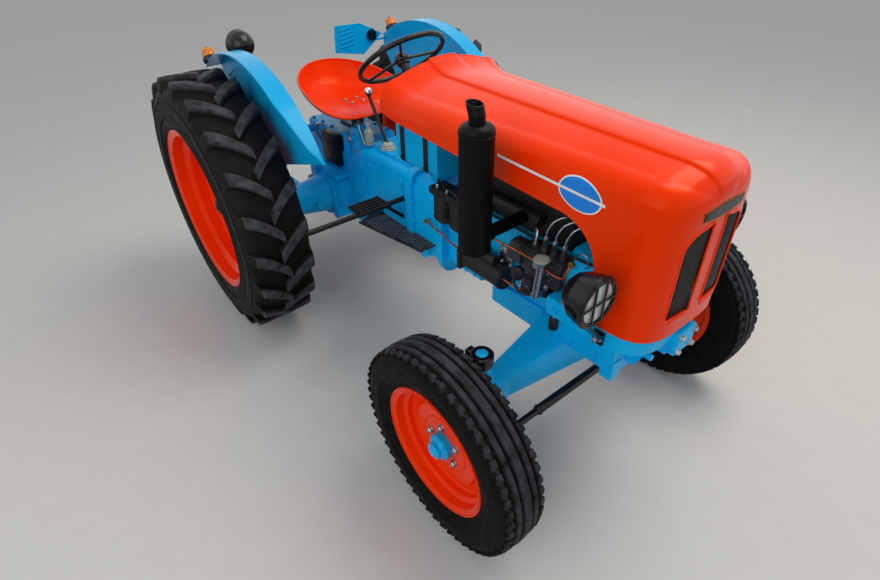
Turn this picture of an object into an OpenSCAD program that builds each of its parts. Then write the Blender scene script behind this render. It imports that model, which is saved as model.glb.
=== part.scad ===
// Small vintage farm tractor: front of the machine along +X, left side along +Y, ground at z = 0.
// Lengths along X are measured from the rear wheel axis, then moved so that the origin is mid length.

/* [Wheelbase and tracks] */
// Distance between the front and rear wheel axes
wheelbase = 1600; // [1500:5:1750]
// Distance between the middles of the rear tyres
rear_track = 1266; // [1240:2:1400]
// Distance between the middles of the front tyres
front_track = 1222; // [1210:2:1320]

/* [Rear wheels] */
// Height of the rear wheel axis, out to the tips of the lugs
rear_tyre_r = 594; // [580:1:620]
// Width of the rear tyre
rear_tyre_w = 284; // [260:1:300]
// How far the lugs stand out of the casing
lug_h = 30; // [20:1:36]
// Lugs along one side of a rear tyre
lug_count = 19; // [14:1:22]
// Width of one lug
lug_w = 38; // [26:1:46]
// Radius of the rear rim flange
rear_rim_r = 378; // [360:1:390]
// Width across the rear rim flanges
rear_rim_w = 270; // [250:1:276]
// Distance from the middle of the rear tyre out to its disc
rear_disc_y = 24; // [10:1:50]
// Radius of the rear hub
rear_hub_r = 52; // [44:1:60]

/* [Front wheels] */
// Height of the front wheel axis and radius of its tyre
front_tyre_r = 360; // [345:1:372]
// Width of the front tyre
front_tyre_w = 158; // [145:1:165]
// Radius of the front rim flange
front_rim_r = 227; // [215:1:235]
// Width across the front rim flanges
front_rim_w = 122; // [112:1:130]
// Distance from the middle of the front tyre out to its disc
front_disc_y = 10; // [0:1:24]
// Radius of the front hub
front_hub_r = 44; // [38:1:52]

/* [Front axle] */
// Sideways distance from the middle of the machine to a king pin
kingpin_y = 470; // [455:1:480]
// Radius of a king pin
kingpin_r = 17; // [13:1:20]
// Height of the underside of the front axle beam
beam_z = 452; // [440:1:470]
// Height of the beam section
beam_h = 74; // [60:1:90]
// Thickness of the beam from front to back
beam_t = 62; // [50:1:72]
// Length of the track rod arms
rod_arm = 118; // [90:1:130]
// Height of the track rod
rod_z = 404; // [396:1:412]
// Radius of the track rod
rod_r = 12; // [8:1:14]
// Length of the left upper steering arm
steer_arm = 120; // [90:1:140]

/* [Gearbox] */
// Half width of the gearbox casting
gearbox_y = 130; // [110:1:150]
// Height of the top of the gearbox
gearbox_top = 862; // [840:1:890]
// Height of the underside of the rear casting
casting_z = 440; // [420:1:470]
// Distance from the rear axis forward to the clutch housing joint
bell_x = 790; // [740:1:830]
// Distance from the rear axis forward to the engine's rear face
engine_x = 1010; // [980:1:1040]
// Distance from the rear axis forward to the half shaft axis
shaft_x = 150; // [120:1:170]
// Height of the half shaft axis
shaft_z = 572; // [560:1:590]
// Radius of the final drive drums
drum_r = 138; // [120:1:150]

/* [Engine] */
// Length of the engine block
engine_l = 590; // [560:1:610]
// Half width of the crankcase
block_y = 112; // [100:1:120]
// Height of the top of the cylinder head
head_z = 1000; // [980:1:1020]
// Height of the underside of the sump
sump_z = 482; // [470:1:500]
// Radius of the silencer
silencer_r = 50; // [40:1:56]
// Length of the silencer
silencer_l = 362; // [300:1:380]
// Distance from the rear axis forward to the silencer
silencer_x = 1425; // [1418:1:1440]
// Sideways distance from the middle to the silencer
silencer_y = 350; // [340:1:360]
// Height of the fuel tank's underside
tank_z = 975; // [965:1:985]
// Distance from the rear axis forward to the front end of the fuel tank
tank_end = 1105; // [1060:1:1110]
// Distance from the rear axis forward to the radiator
radiator_x = 1770; // [1766:1:1776]
// Height of the top of the front bolster
bolster_top = 744; // [738:1:746]

/* [Bonnet] */
// Distance from the rear axis forward to the tip of the nose
nose_x = 1962; // [1940:1:2000]
// Distance from the rear axis forward to the rear edge of the bonnet
bonnet_x = 850; // [840:1:900]
// Half width of the bonnet at its rear
bonnet_y = 282; // [270:1:290]
// Half width of the bonnet where its nose starts to curve in
nose_y = 210; // [206:1:225]
// Length of the nose's curve
nose_l = 190; // [180:1:195]
// Height of the bonnet at its rear
bonnet_top = 1270; // [1262:1:1280]
// How far the bonnet's rear lip flares up
lip_h = 34; // [10:1:40]
// Height of the bonnet above the nose
nose_top = 1248; // [1235:1:1258]
// Height of the lower edge of the nose
nose_z = 758; // [750:1:775]
// Thickness of the bonnet sheet
sheet_t = 3; // [2:0.5:4]
// Grille bars in each opening
grille_bars = 10; // [6:1:11]

/* [Fenders] */
// Clearance between a rear tyre's side and the fender's plate
fender_gap = 45; // [40:1:55]
// Width of a fender band at its widest
fender_w = 78; // [60:1:90]
// Radius of the fender's curve
fender_r = 648; // [645:1:670]
// Distance from the rear axis forward to the centre of the fender's curve
fender_cx = 140; // [130:1:150]
// Height of the centre of the fender's curve
fender_cz = 620; // [615:1:635]

/* [Driving place] */
// Height of the seat's front edge
seat_z = 1000; // [980:1:1030]
// Width of the seat
seat_w = 440; // [400:1:460]
// Depth of the seat from front to back
seat_d = 545; // [500:1:550]
// Radius of the steering wheel to the middle of its rim
wheel_r = 178; // [160:1:190]
// Radius of the steering wheel rim's section
wheel_rim_r = 10; // [8:0.5:12]
// Slope of the steering column from upright
column_tilt = 38; // [34:1:42]
// Distance from the rear axis forward to the steering wheel's hub
column_x = 590; // [570:1:610]
// Height of the steering wheel's hub
column_z = 1246; // [1230:1:1260]

/* [Lamps] */
// Radius of a headlamp
lamp_r = 74; // [65:1:80]
// Sideways distance from the middle to a headlamp
lamp_y = 330; // [322:1:345]
// Height of the headlamps
lamp_z = 940; // [900:1:970]

/* [Rear hitch] */
// Radius of the drawbar's pin hole
drawbar_hole_r = 14; // [10:0.5:16]
// Height of the drawbar's top face
drawbar_z = 400; // [360:1:415]
// Radius of the power take off shaft
pto_r = 17.5; // [15:0.5:20]

/* [Hidden] */

orange = "#e8401c";
blue = "#1e9ad6";
black = "#1a1a1c";
steel = "#9a9ca0";
seam = 0.3;
running = 0.06;
ring_fn = 48;

front_reach = nose_x;
rear_reach = rear_tyre_r;
axle_shift = (rear_reach - front_reach) / 2;
rear_half = rear_track / 2;
front_half = front_track / 2;
lamp_x = nose_x - 100;
beam_top = beam_z + beam_h;
fender_y = rear_half - rear_tyre_w / 2 - fender_gap;
case_in = rear_half - rear_tyre_w / 2 - 33;

// Everything is drawn from the rear wheel axis and moved to the frame's origin here
module placed() {
    translate([axle_shift, 0, 0]) children();
}

// The right-hand piece as drawn for side -1, or its mirror image on the left for side 1
module on_side(side) {
    if (side < 0) children();
    else mirror([0, 1, 0]) children();
}

// A block from one corner to the opposite one
module block(low, high) {
    translate(low) cube(high - low);
}

// Points along an arc
function arc(cx, cy, r, a0, a1, n) = [for (i = [0:n]) let (a = a0 + (a1 - a0) * i / n)
    [cx + r * cos(a), cy + r * sin(a)]];

// A rod between two points
module rod(from, to, r) {
    d = to - from;
    len = norm(d);
    translate(from) rotate([0, acos(d[2] / len), atan2(d[1], d[0])]) cylinder(r = r, h = len, $fn = 24);
}

// A plate drawn in X and Z, reaching from y0 to y1
module side_plate(y0, y1) {
    translate([0, y1, 0]) rotate([90, 0, 0]) linear_extrude(y1 - y0) children();
}

// A rectangle with round corners, corners[0] low and corners[1] high
module round_rect(low, high, r) {
    translate(low + [r, 0]) square([high[0] - low[0] - 2 * r, high[1] - low[1]]);
    translate(low + [0, r]) square([high[0] - low[0], high[1] - low[1] - 2 * r]);
    for (x = [low[0] + r, high[0] - r], y = [low[1] + r, high[1] - r]) translate([x, y]) circle(r, $fn = 24);
}

// A casting lying along X with a rounded section in Y and Z
module casting(x0, x1, half, z0, z1, r) {
    translate([x0, 0, 0]) rotate([90, 0, 90]) linear_extrude(x1 - x0) round_rect([-half, z0], [half, z1], r);
}

module gearbox() placed() color(blue) {
    difference() {
        union() {
            casting(-150, 430, gearbox_y, casting_z, gearbox_top - 60, 30);
            casting(-110, 330, gearbox_y - 18, gearbox_top - 90, gearbox_top, 16);
            casting(430, bell_x, gearbox_y, 505, gearbox_top, 34);
            casting(418, 442, gearbox_y + 12, 492, gearbox_top + 6, 44);
            block([480, -gearbox_y - 6, 570], [bell_x - 50, gearbox_y + 6, 812]);
            block([462, -92, gearbox_top - 2], [bell_x - 50, 92, gearbox_top + 10]);
            casting(bell_x - 24, bell_x + 22, gearbox_y + 16, 492, gearbox_top + 14, 46);
            casting(bell_x + 22, engine_x - 24, gearbox_y + 2, 500, gearbox_top + 2, 60);
            casting(engine_x - 24, engine_x, gearbox_y + 18, 490, gearbox_top + 14, 60);
            for (s = [-1, 1]) rod([bell_x + 90, s * 96, 545], [bell_x + 90, s * 144, 545], 32);
        }
        translate([-151, 0, 560]) rotate([0, 90, 0]) cylinder(r = pto_r + 12, h = 30, $fn = 32);
    }
}

// Half shaft housing: drum, trumpet and the drop case that carries the wheel
module axle_housing() {
    drum_w = 70;
    case_w = 88;
    boss_w = 26;
    drum_in = -gearbox_y - drum_w;
    color(blue) difference() {
        union() {
            translate([shaft_x, -gearbox_y, shaft_z]) rotate([90, 0, 0])
                cylinder(r = drum_r, h = drum_w - 22, $fn = 48);
            translate([shaft_x, drum_in + 22, shaft_z]) rotate([90, 0, 0])
                cylinder(r1 = drum_r, r2 = drum_r - 26, h = 22, $fn = 48);
            translate([shaft_x, drum_in, shaft_z]) rotate([90, 0, 0])
                cylinder(r1 = 96, r2 = 56, h = case_in + drum_in, $fn = 48);
            translate([shaft_x, drum_in, shaft_z]) rotate([90, 0, 0]) cylinder(r = 108, h = 16, $fn = 48);
            for (a = [-42, 118, 205]) translate([shaft_x + 122 * cos(a), -gearbox_y, shaft_z + 122 * sin(a)])
                rotate([90, 0, 0]) cylinder(r = 30, h = drum_w + 12, $fn = 32);
            block([shaft_x + 40, drum_in - 6, shaft_z + drum_r - 34],
                [shaft_x + 130, -gearbox_y, shaft_z + drum_r - 12]);
            for (k = [0.35, 0.7]) translate([shaft_x + 60, drum_in - k * (case_in + drum_in), shaft_z - 12])
                rotate([0, 90, 0]) cylinder(r = 15, h = 44 - k * 26, $fn = 24);
            side_plate(-case_in - case_w, -case_in) {
                translate([shaft_x, shaft_z]) circle(88, $fn = 48);
                translate([0, rear_tyre_r]) circle(104, $fn = 48);
                polygon([[shaft_x, shaft_z + 88], [shaft_x, shaft_z - 88], [0, rear_tyre_r - 104],
                    [0, rear_tyre_r + 104]]);
            }
            translate([0, -case_in - case_w, rear_tyre_r]) rotate([90, 0, 0])
                cylinder(r = 66, h = boss_w, $fn = 48);
            block([90, -fender_y + seam, shaft_z + 40], [210, -fender_y + 30, 760]);
        }
        translate([0, -case_in + 1 - case_w / 2, rear_tyre_r]) rotate([90, 0, 0])
            cylinder(r = 34 + running, h = case_w + boss_w, $fn = 48);
    }
}

module axle_housing_right() placed() on_side(-1) axle_housing();
module axle_housing_left() placed() on_side(1) axle_housing();

engine_end = engine_x + engine_l;
ledge = 7;
module engine_block() placed() color(blue) {
    casting(engine_x, engine_end, block_y, 600, 860, 14);
    casting(engine_x, 1200, block_y, 540, 640, 20);
    casting(engine_x, engine_end - 4, block_y + ledge, 842, 860, 4);
    for (x = [1250, 1400, 1550], s = [-1, 1]) translate([x, s * (block_y - 2), 780])
        rotate([-90 * s, 0, 0]) cylinder(r = 21, h = 7, $fn = 32);
}

module oil_sump() placed() color(blue) {
    end = wheelbase - beam_t / 2 - 39;
    casting(1268, end, block_y - 4, sump_z, 600, 18);
    block([1268, -block_y - 6, 588], [end, block_y + 6, 600]);
    translate([1300, 0, sump_z - 8]) cylinder(r = 14, h = 12, $fn = 6);
}

module cylinder_head() placed() color(black) {
    block([tank_end + 14, -92, 860], [engine_end - 10, 92, head_z]);
    casting(tank_end + 34, engine_end - 40, 58, head_z, head_z + 60, 20);
    rod([tank_end + 54, -120, 935], [silencer_x + 60, -120, 935], 20);
    for (i = [0:2]) translate([tank_end + 90 + i * 130, -70, 0]) {
        translate([0, 0, 935]) rotate([90, 0, 0]) cylinder(r = 18, h = 50, $fn = 24);
        translate([40, -8, head_z - 1]) cylinder(r = 9, h = 42, $fn = 24);
    }
}

case_x = engine_end + 52;
module timing_case() placed() color(blue) {
    casting(engine_end, case_x, 96, bolster_top, 880, 20);
    casting(case_x, case_x + 72, 180, bolster_top, 900, 70);
    translate([case_x + 71, 0, 830]) rotate([0, 90, 0]) cylinder(r = 60, h = 14, $fn = 32);
}

module starter_motor() placed() color(black) {
    y = -block_y - 46;
    translate([1182, y, 672]) rotate([0, 90, 0]) cylinder(r = 40, h = 200, $fn = 32);
    translate([1220, y, 722]) rotate([0, 90, 0]) cylinder(r = 20, h = 110, $fn = 24);
    block([1166, y - 44, 634], [1184, -block_y, 712]);
}

module oil_filler() placed() color(steel) {
    rod([1560, -block_y, 728], [1560, -206, 728], 12);
    rod([1560, -206, 724], [1586, -224, 866], 12);
    translate([1587, -225, 864]) cylinder(r1 = 14, r2 = 23, h = 20, $fn = 32);
}

module injection_pump() placed() color("#3a3c40") {
    y = -block_y - ledge;
    block([1466, y - 72, 792], [case_x - 14, y, 862]);
    casting_y = y - 36;
    translate([1420, y - 42, 826]) rotate([0, 90, 0]) cylinder(r = 42, h = 62, $fn = 32);
    translate([case_x - 15, casting_y, 826]) rotate([0, 90, 0]) cylinder(r = 30, h = 15, $fn = 32);
    block([1480, y - 58, 762], [1620, y, 793]);
    for (i = [0:3]) translate([1500 + i * 38, casting_y, 860]) {
        cylinder(r = 13, h = 26, $fn = 24);
        translate([0, 0, 26]) cylinder(r = 8, h = 18, $fn = 24);
    }
    translate([1510, y - 62, 700]) cylinder(r = 22, h = 63, $fn = 32);
    translate([1510, y - 62, 735]) rotate([-90, 0, 0]) cylinder(r = 14, h = 62, $fn = 24);
}

module oil_filters() placed() color(black) {
    y = -block_y - ledge - 46;
    x0 = engine_x + 46;
    for (x = [x0, x0 + 90]) {
        translate([x, y, 790]) cylinder(r = 42, h = 102, $fn = 32);
        translate([x, y, 772]) cylinder(r1 = 26, r2 = 42, h = 18, $fn = 32);
        translate([x, y, 914]) cylinder(r = 14, h = 14, $fn = 6);
    }
    block([x0 - 44, y - 40, 888], [x0 + 134, y + 34, 914]);
    block([x0 + 24, y, 846], [x0 + 66, -block_y - ledge, 892]);
}

module exhaust() placed() color(black) {
    z = 900;
    translate([silencer_x, -silencer_y, z - 14]) cylinder(r1 = 30, r2 = silencer_r, h = 14, $fn = 48);
    translate([silencer_x, -silencer_y, z]) cylinder(r = silencer_r, h = silencer_l, $fn = 48);
    translate([silencer_x, -silencer_y, z + silencer_l])
        cylinder(r1 = silencer_r, r2 = 26, h = 12, $fn = 48);
    translate([silencer_x, -silencer_y, z + silencer_l]) difference() {
        union() {
            cylinder(r = 23, h = 50, $fn = 32);
            translate([0, 0, 46]) sphere(r = 23, $fn = 32);
            translate([0, 0, 46]) rotate([0, -20, 0]) cylinder(r = 23, h = 70, $fn = 32);
        }
        translate([0, 0, 46]) rotate([0, -20, 0]) translate([0, 0, 8]) cylinder(r = 19.5, h = 80, $fn = 32);
        translate([-80, -40, 86]) rotate([0, 8, 0]) cube([160, 80, 60]);
    }
    rod([silencer_x, -silencer_y + 10, 935], [silencer_x, -140 - seam, 935], 21);
}

module radiator() placed() color(black) {
    block([radiator_x, -150, bolster_top], [radiator_x + 64, 150, 1140]);
    casting(radiator_x - 8, radiator_x + 72, 146, 1140, 1182, 18);
    translate([radiator_x + 32, 0, 1181]) cylinder(r = 28, h = 18, $fn = 32);
    difference() {
        rod([radiator_x - 8, 0, 1160], [engine_end - 90, 0, 1042], 20);
        block([engine_end - 120, -40, 980], [engine_end - 40, 40, 1140]);
    }
}

module fuel_tank() placed() color(blue) {
    casting(870, tank_end, 236, tank_z, 1130, 26);
    for (x = [900, tank_end - 70]) casting(x, x + 24, 239, tank_z - 3, 1133, 28);
    for (s = [-1, 1]) block([900, s * 85 - 25, gearbox_top + 2], [940, s * 85 + 25, tank_z]);
}

bolster_front = nose_x - 22;
bolster_round_x = nose_x - nose_l;
bolster_outline = concat([[engine_end, -nose_y + 16]],
    [for (a = [-90:15:90]) [bolster_round_x + (bolster_front - bolster_round_x) * cos(a),
        (nose_y - 16) * sin(a)]], [[engine_end, nose_y - 16]]);
hinge_x = nose_x - 37;
hinge_z = nose_z;
module front_bolster() placed() color(blue) {
    ear_r = wheelbase + beam_t / 2 + 6;
    difference() {
        union() {
            translate([0, 0, bolster_top - 64]) linear_extrude(64) polygon(bolster_outline);
            casting(engine_end, nose_x - 116, 150, 545, bolster_top - 60, 18);
            side_plate(-72, 72) polygon([[nose_x - 120, bolster_top - 60], [nose_x - 120, 566],
                [nose_x - 92, 566], [bolster_front - 12, bolster_top - 60]]);
            for (s = [-1, 1]) {
                block([nose_x - 156, s * 130 - 20, 528], [nose_x - 112, s * 130 + 20, 600]);
                rod([nose_x - 60, s * 96, bolster_top - 87], [nose_x - 28, s * 96, bolster_top - 87], 10);
                block([nose_x - 60, s * 96 - 12, bolster_top - 84],
                    [nose_x - 46, s * 96 + 12, bolster_top - 60]);
            }
            for (x = [wheelbase - beam_t / 2 - 30, ear_r])
                block([x, -60, beam_z - 6], [x + 24, 60, x < engine_end ? 600 : 620]);
            block([wheelbase - beam_t / 2 - 30, -60, 560], [engine_end + 20, 60, 600]);
            for (s = [-1, 1]) {
                block([hinge_x - 14, s * 60 - 10, bolster_top - 4], [hinge_x + 10, s * 60 + 10, hinge_z]);
                translate([hinge_x, s * 60 - 10, hinge_z]) rotate([-90, 0, 0])
                    cylinder(r = 14, h = 20, $fn = 32);
            }
        }
        for (s = [-1, 1]) translate([hinge_x, s * 60 - 20, hinge_z]) rotate([-90, 0, 0])
            cylinder(r = 8 + running, h = 40, $fn = 32);
        translate([wheelbase - 80, 0, beam_z + beam_h / 2]) rotate([0, 90, 0])
            cylinder(r = 20, h = 160, $fn = 32);
    }
}

module front_beam() placed() color(blue) {
    difference() {
        union() {
            translate([wheelbase - beam_t / 2, 0, 0]) rotate([90, 0, 90]) linear_extrude(beam_t)
                polygon([[-kingpin_y, beam_z + 22], [-kingpin_y + 60, beam_z + 16], [-120, beam_z],
                    [120, beam_z], [kingpin_y - 60, beam_z + 16], [kingpin_y, beam_z + 22],
                    [kingpin_y, beam_top], [-kingpin_y, beam_top]]);
            for (s = [-1, 1]) {
                translate([wheelbase, s * kingpin_y, beam_z - 10]) cylinder(r = 40, h = 150, $fn = 48);
                translate([wheelbase - beam_t / 2 - 5, s * (kingpin_y - 48) - 22, beam_z + 8])
                    cube([beam_t + 10, 44, beam_h - 3]);
            }
            translate([wheelbase - 60, 0, beam_z + beam_h / 2]) rotate([0, 90, 0])
                cylinder(r = 19.9, h = 120, $fn = 32);
        }
        for (s = [-1, 1]) translate([wheelbase, s * kingpin_y, beam_z - 20])
            cylinder(r = kingpin_r + running, h = 200, $fn = 48);
    }
}

// Lamp bowl about the Z axis, its rim at z = 0 and its back below
module lamp_bowl(r) {
    rotate_extrude($fn = 48) polygon([[0, -r * 1.25], [r * 0.14, -r * 1.25], [r * 0.4, -r * 1.18],
        [r * 0.7, -r * 0.95],
        [r * 0.9, -r * 0.6], [r, -r * 0.16], [r, 0], [r * 0.95, 6], [r * 0.82, 10], [r * 0.8, 10],
        [r * 0.8, 0], [0, 0]]);
}

// Section of the lamp's arm in Y and Z, from the bolster's side up into the bowl
arm_in = nose_y - 16;
arm_low = bolster_top - 10;
lamp_arm = [[-arm_in + 44, arm_low - 44], [-arm_in + 44, arm_low], [-arm_in - 18, arm_low],
    [-lamp_y + 6, lamp_z - lamp_r - 4], [-lamp_y + 4, lamp_z - 36], [-lamp_y - 4, lamp_z - 36],
    [-lamp_y - 4, lamp_z - lamp_r - 2], [-arm_in - 26, arm_low - 9], [-arm_in - 8, arm_low - 16],
    [-arm_in - 8, arm_low - 44]];
module headlamp() color(black) {
    inner = lamp_r * 0.79;
    translate([lamp_x, -lamp_y, lamp_z]) rotate([0, 90, 0]) {
        lamp_bowl(lamp_r);
        block([-2.5, -lamp_r * 0.82, 7], [2.5, lamp_r * 0.82, 12]);
        for (u = [-1, 1]) block([-inner, u * lamp_r * 0.27 - 2.5, 7], [inner, u * lamp_r * 0.27 + 2.5, 12]);
    }
    difference() {
        translate([lamp_x - 72, 0, 0]) rotate([90, 0, 90]) linear_extrude(36) polygon(lamp_arm);
        translate([0, 0, bolster_top - 70]) linear_extrude(80) polygon(bolster_outline);
    }
}
module headlamp_right() placed() on_side(-1) headlamp();
module headlamp_left() placed() on_side(1) headlamp();

module headlamp_glasses() placed() color("#dfe6ea")
    for (s = [-1, 1]) translate([lamp_x, s * lamp_y, lamp_z]) rotate([0, 90, 0])
        cylinder(r = lamp_r * 0.8 - seam, h = 6, $fn = 48);

column_dir = [sin(column_tilt), 0, -cos(column_tilt)];
hub_pos = [column_x, 0, column_z];
module steering_column() placed() color(black) {
    rod(hub_pos + column_dir * (22 + seam), hub_pos + column_dir * 400, 18);
    block([bell_x + 22 + seam, -50, gearbox_top + 2], [bell_x + 90, 50, 930]);
    translate([drop_pos[0], 50, drop_pos[2]]) rotate([-90, 0, 0])
        cylinder(r = 20, h = drop_pos[1] - 50 - seam, $fn = 32);
}

module dash_panel() placed() color(black) {
    side_x = 872;
    difference() {
        translate([side_x, 0, 0]) rotate([90, 0, 90]) linear_extrude(4)
            round_rect([-225, 1130], [225, 1236], 40);
        translate([side_x - 1, 0, 1186]) rotate([0, 90, 0]) cylinder(r = 24, h = 6, $fn = 32);
    }
    block([side_x, -225, 1130], [side_x + 26, 225, 1134]);
}

// Pan seat: rings from the outside of the floor up to the rim and down its inside
seat_x1 = 430;
seat_x0 = seat_x1 - seat_d;
function seat_rim_z(x) = seat_z + 30 + 95 * pow((seat_x1 - x) / seat_d, 1.4);
function soft(v, e) = sign(v) * pow(abs(v), e);
function seat_ring(f, lift, t) = [for (i = [0:31]) let (a = i * 11.25,
    x = (seat_x0 + seat_x1) / 2 + (seat_d / 2 - t) * f * soft(cos(a), 0.75),
    w = seat_w / 2 * (1 - 0.25 * pow((seat_x1 - x) / seat_d, 2)))
    [x, (w - t) * f * soft(sin(a), 0.75), blend(seat_z - 15, seat_rim_z(x), lift) + (lift < 0.02 ? t : 0)]];

module seat_pan() placed() color(orange)
    loft([for (q = [[0.5, 0, 0], [0.72, 0.08, 0], [0.88, 0.3, 0], [0.96, 0.62, 0], [1, 1, 0],
        [1, 1.02, 5], [0.955, 0.62, 5], [0.87, 0.34, 5], [0.71, 0.13, 5], [0.48, 0.0, 5]])
        seat_ring(q[0], q[1], q[2])]);

module seat_spring() placed() color(black) {
    block([60, -25, gearbox_top], [200, 25, gearbox_top + 12]);
    block([170, -25, gearbox_top + 12], [200, 25, seat_z - 15]);
    block([120, -60, seat_z - 23], [240, 60, seat_z - 15]);
}

// Fender outline in X and Z: one curve, from a low front tip back over the tyre
fender_back = -215;
fender_tip = [688, 960];
module fender_region(inset) {
    translate([fender_cx, fender_cz]) circle(fender_r - inset, $fn = 96);
}

module fender() {
    y = -fender_y;
    color(blue) {
        intersection() {
            side_plate(y - fender_w, y) difference() {
                fender_region(0);
                fender_region(4);
            }
            linear_extrude(1500) polygon([[fender_tip[0] + 60, y], [fender_back, y],
                [fender_back, y - fender_w * 0.94], [420, y - fender_w], [500, y - fender_w],
                [560, y - fender_w * 0.86], [610, y - fender_w * 0.7], [650, y - fender_w * 0.5],
                [fender_tip[0], y - 8], [fender_tip[0] + 60, y - 8]]);
            block([fender_back, y - fender_w - 10, fender_tip[1]], [fender_tip[0] + 200, 0, 1400]);
        }
        side_plate(y - 4, y) intersection() {
            fender_region(0);
            polygon([[fender_back, 1400], [fender_back, 1100], [80, 700], [240, 700], [320, 842],
                fender_tip, [fender_tip[0] + 120, fender_tip[1]], [fender_tip[0] + 120, 1400]]);
        }
    }
}
module fender_right() placed() on_side(-1) fender();
module fender_left() placed() on_side(1) fender();

// Stands children on a fender's band at a place along X, square to its surface
function fender_top(x) = fender_cz + sqrt(pow(fender_r, 2) - pow(x - fender_cx, 2));
module on_fender(x, y) {
    translate([x, y, fender_top(x)]) rotate([0, asin((x - fender_cx) / fender_r), 0])
        translate([0, 0, seam]) children();
}

work_r = 62;
work_pos = [-125, -fender_y + work_r + 5, 1248];
module work_lamp() placed() color(black) {
    translate(work_pos) rotate([0, -90, 0]) {
        lamp_bowl(work_r);
        cylinder(r = work_r * 0.8, h = 6, $fn = 48);
    }
    x = work_pos[0] + 50;
    block([x - 10, -fender_y, 1140], [x + 10, -fender_y + 12, 1190]);
    rod([x, -fender_y + 6, 1160], [x, work_pos[1] - 8, work_pos[2] - 40], 8);
}

module side_lamps() placed() for (s = [-1, 1]) on_fender(-190, s * (fender_y + 50)) {
    color(black) block([-22, -22, 0], [22, 22, 34]);
    color("#e8a020") translate([0, 0, 34]) cylinder(r1 = 24, r2 = 20, h = 38, $fn = 32);
}

plate_x = fender_back + 10;
module plate_panel() placed() color(blue) {
    translate([plate_x, 0, 0]) rotate([90, 0, 90]) linear_extrude(3)
        polygon([[150, 1238], [296, 1234], [426, 1170], [378, 1136], [305, 1085], [140, 1116]]);
    for (i = [0:4]) translate([plate_x + 3, 168, 1134 + i * 20]) rotate([0, 90, 0]) rotate([0, 0, 8])
        block([-4, 0, -0.5], [4, 90, 3]);
    block([plate_x, 389, 1140], [plate_x + 8, fender_y, 1150]);
}

module tail_lamp() placed() color(black) {
    translate([plate_x + 3, 360, 1171]) rotate([0, 90, 0]) cylinder(r = 27, h = 14, $fn = 32);
    translate([plate_x, 360, 1171]) rotate([0, -90, 0]) cylinder(r1 = 34, r2 = 28, h = 28, $fn = 32);
}

// The left rest stands further back, clear of the steering's drop arm at full lock
module foot_rests() placed() color(black) for (s = [-1, 1]) {
    bar_x = bell_x - (s < 0 ? 38 : 90);
    rod([bar_x, s * (gearbox_y + 6), 744], [bar_x, s * 590, 744], 11);
    block([bar_x - 62, s * 303 - 72, 750], [bar_x + 38, s * 303 + 72, 758]);
    for (i = [0:4]) block([bar_x - 58 + i * 21, s * 303 - 70, 757],
        [bar_x - 50 + i * 21, s * 303 + 70, 763]);
    difference() {
        rod([bar_x - 22, s * gearbox_y, 640], [bar_x - 22, s * 250, 752], 8);
        block([bar_x - 60, -gearbox_y - 6, 600], [bar_x + 60, gearbox_y + 6, 800]);
    }
}

// Ball of a lever, turned in flats
module knob(r) {
    rotate_extrude($fn = 32) polygon(concat([[0, -r * sin(50)]],
        [for (a = [-50:30:70]) [r * cos(a), r * sin(a)]], [[0, r * sin(70)]]));
}

module gear_levers() placed() color(black) {
    translate([533, -60, gearbox_top + 10]) cylinder(r1 = 24, r2 = 14, h = 24, $fn = 32);
    rod([533, -60, gearbox_top + 20], [407, -60, 1086], 7);
    translate([412, -60, 1092]) knob(18);
    translate([533, 61, gearbox_top + 10]) cylinder(r = 14, h = 14, $fn = 32);
    rod([533, 61, gearbox_top + 20], [501, 61, 1004], 6);
    rod([503, 61, 996], [496, 61, 1026], 12);
}

module hydraulic_valve() placed() color(blue) {
    block([350, -gearbox_y, gearbox_top - 60], [410, -70, 940]);
    translate([380, -100, 940]) cylinder(r = 16, h = 14, $fn = 32);
    rod([380, -gearbox_y + 1, 900], [380, -gearbox_y - 30, 900], 12);
}

module drawbar() placed() color(black) difference() {
    union() {
        block([-420, -35, drawbar_z - 20], [-20, 35, drawbar_z]);
        translate([-420, 0, drawbar_z - 20]) cylinder(r = 35, h = 20, $fn = 48);
        block([-120, -60, drawbar_z], [-60, 60, casting_z]);
    }
    translate([-420, 0, drawbar_z - 30]) cylinder(r = drawbar_hole_r, h = 40, $fn = 48);
}

module pto_shaft() placed() color(steel) {
    translate([-121, 0, 560]) rotate([0, -90, 0]) cylinder(r = pto_r, h = 110, $fn = 32);
}

module hitch_links() placed() color(blue) {
    block([-200, -40, 740], [-150, 40, 790]);
    for (s = [-1, 1]) {
        block([-480, s * 220 - 10, 470], [-80, s * 220 + 10, 520]);
        translate([-110, s * gearbox_y, 495]) rotate([-90 * s, 0, 0]) cylinder(r = 20, h = 100, $fn = 32);
        rod([-60, s * (gearbox_y - 18), 825], [-60, s * 232, 825], 20);
        rod([-60, s * 220, 825], [-330, s * 220, 780], 13);
        rod([-330, s * 220, 780], [-330, s * 220, 510], 9);
    }
}

// Rear wheel, drawn about its own axis with the outer side towards -Y
module about_axis() {
    rotate([90, 0, 0]) children();
}

module rear_rim() {
    w = rear_rim_w / 2;
    r = rear_rim_r;
    d = rear_disc_y;
    color(orange) about_axis() rotate_extrude($fn = ring_fn) polygon([
        [r, w], [r, w - 8], [r - 22, w - 14], [r - 26, w - 60], [r - 46, w - 84],
        [r - 46, -w + 84], [r - 26, -w + 60], [r - 22, -w + 14], [r, -w + 8], [r, -w],
        [r - 8, -w], [r - 30, -w + 10], [r - 34, -w + 58], [r - 54, -w + 80],
        [r - 54, d - 38], [rear_hub_r + 60, d - 38], [rear_hub_r + 36, d - 10], [rear_hub_r + seam, d - 10],
        [rear_hub_r + seam, d], [rear_hub_r + 44, d], [rear_hub_r + 68, d - 28], [r - 66, d - 28],
        [r - 54, d - 16], [r - 54, w - 80], [r - 34, w - 58], [r - 30, w - 10], [r - 8, w]]);
}

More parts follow.
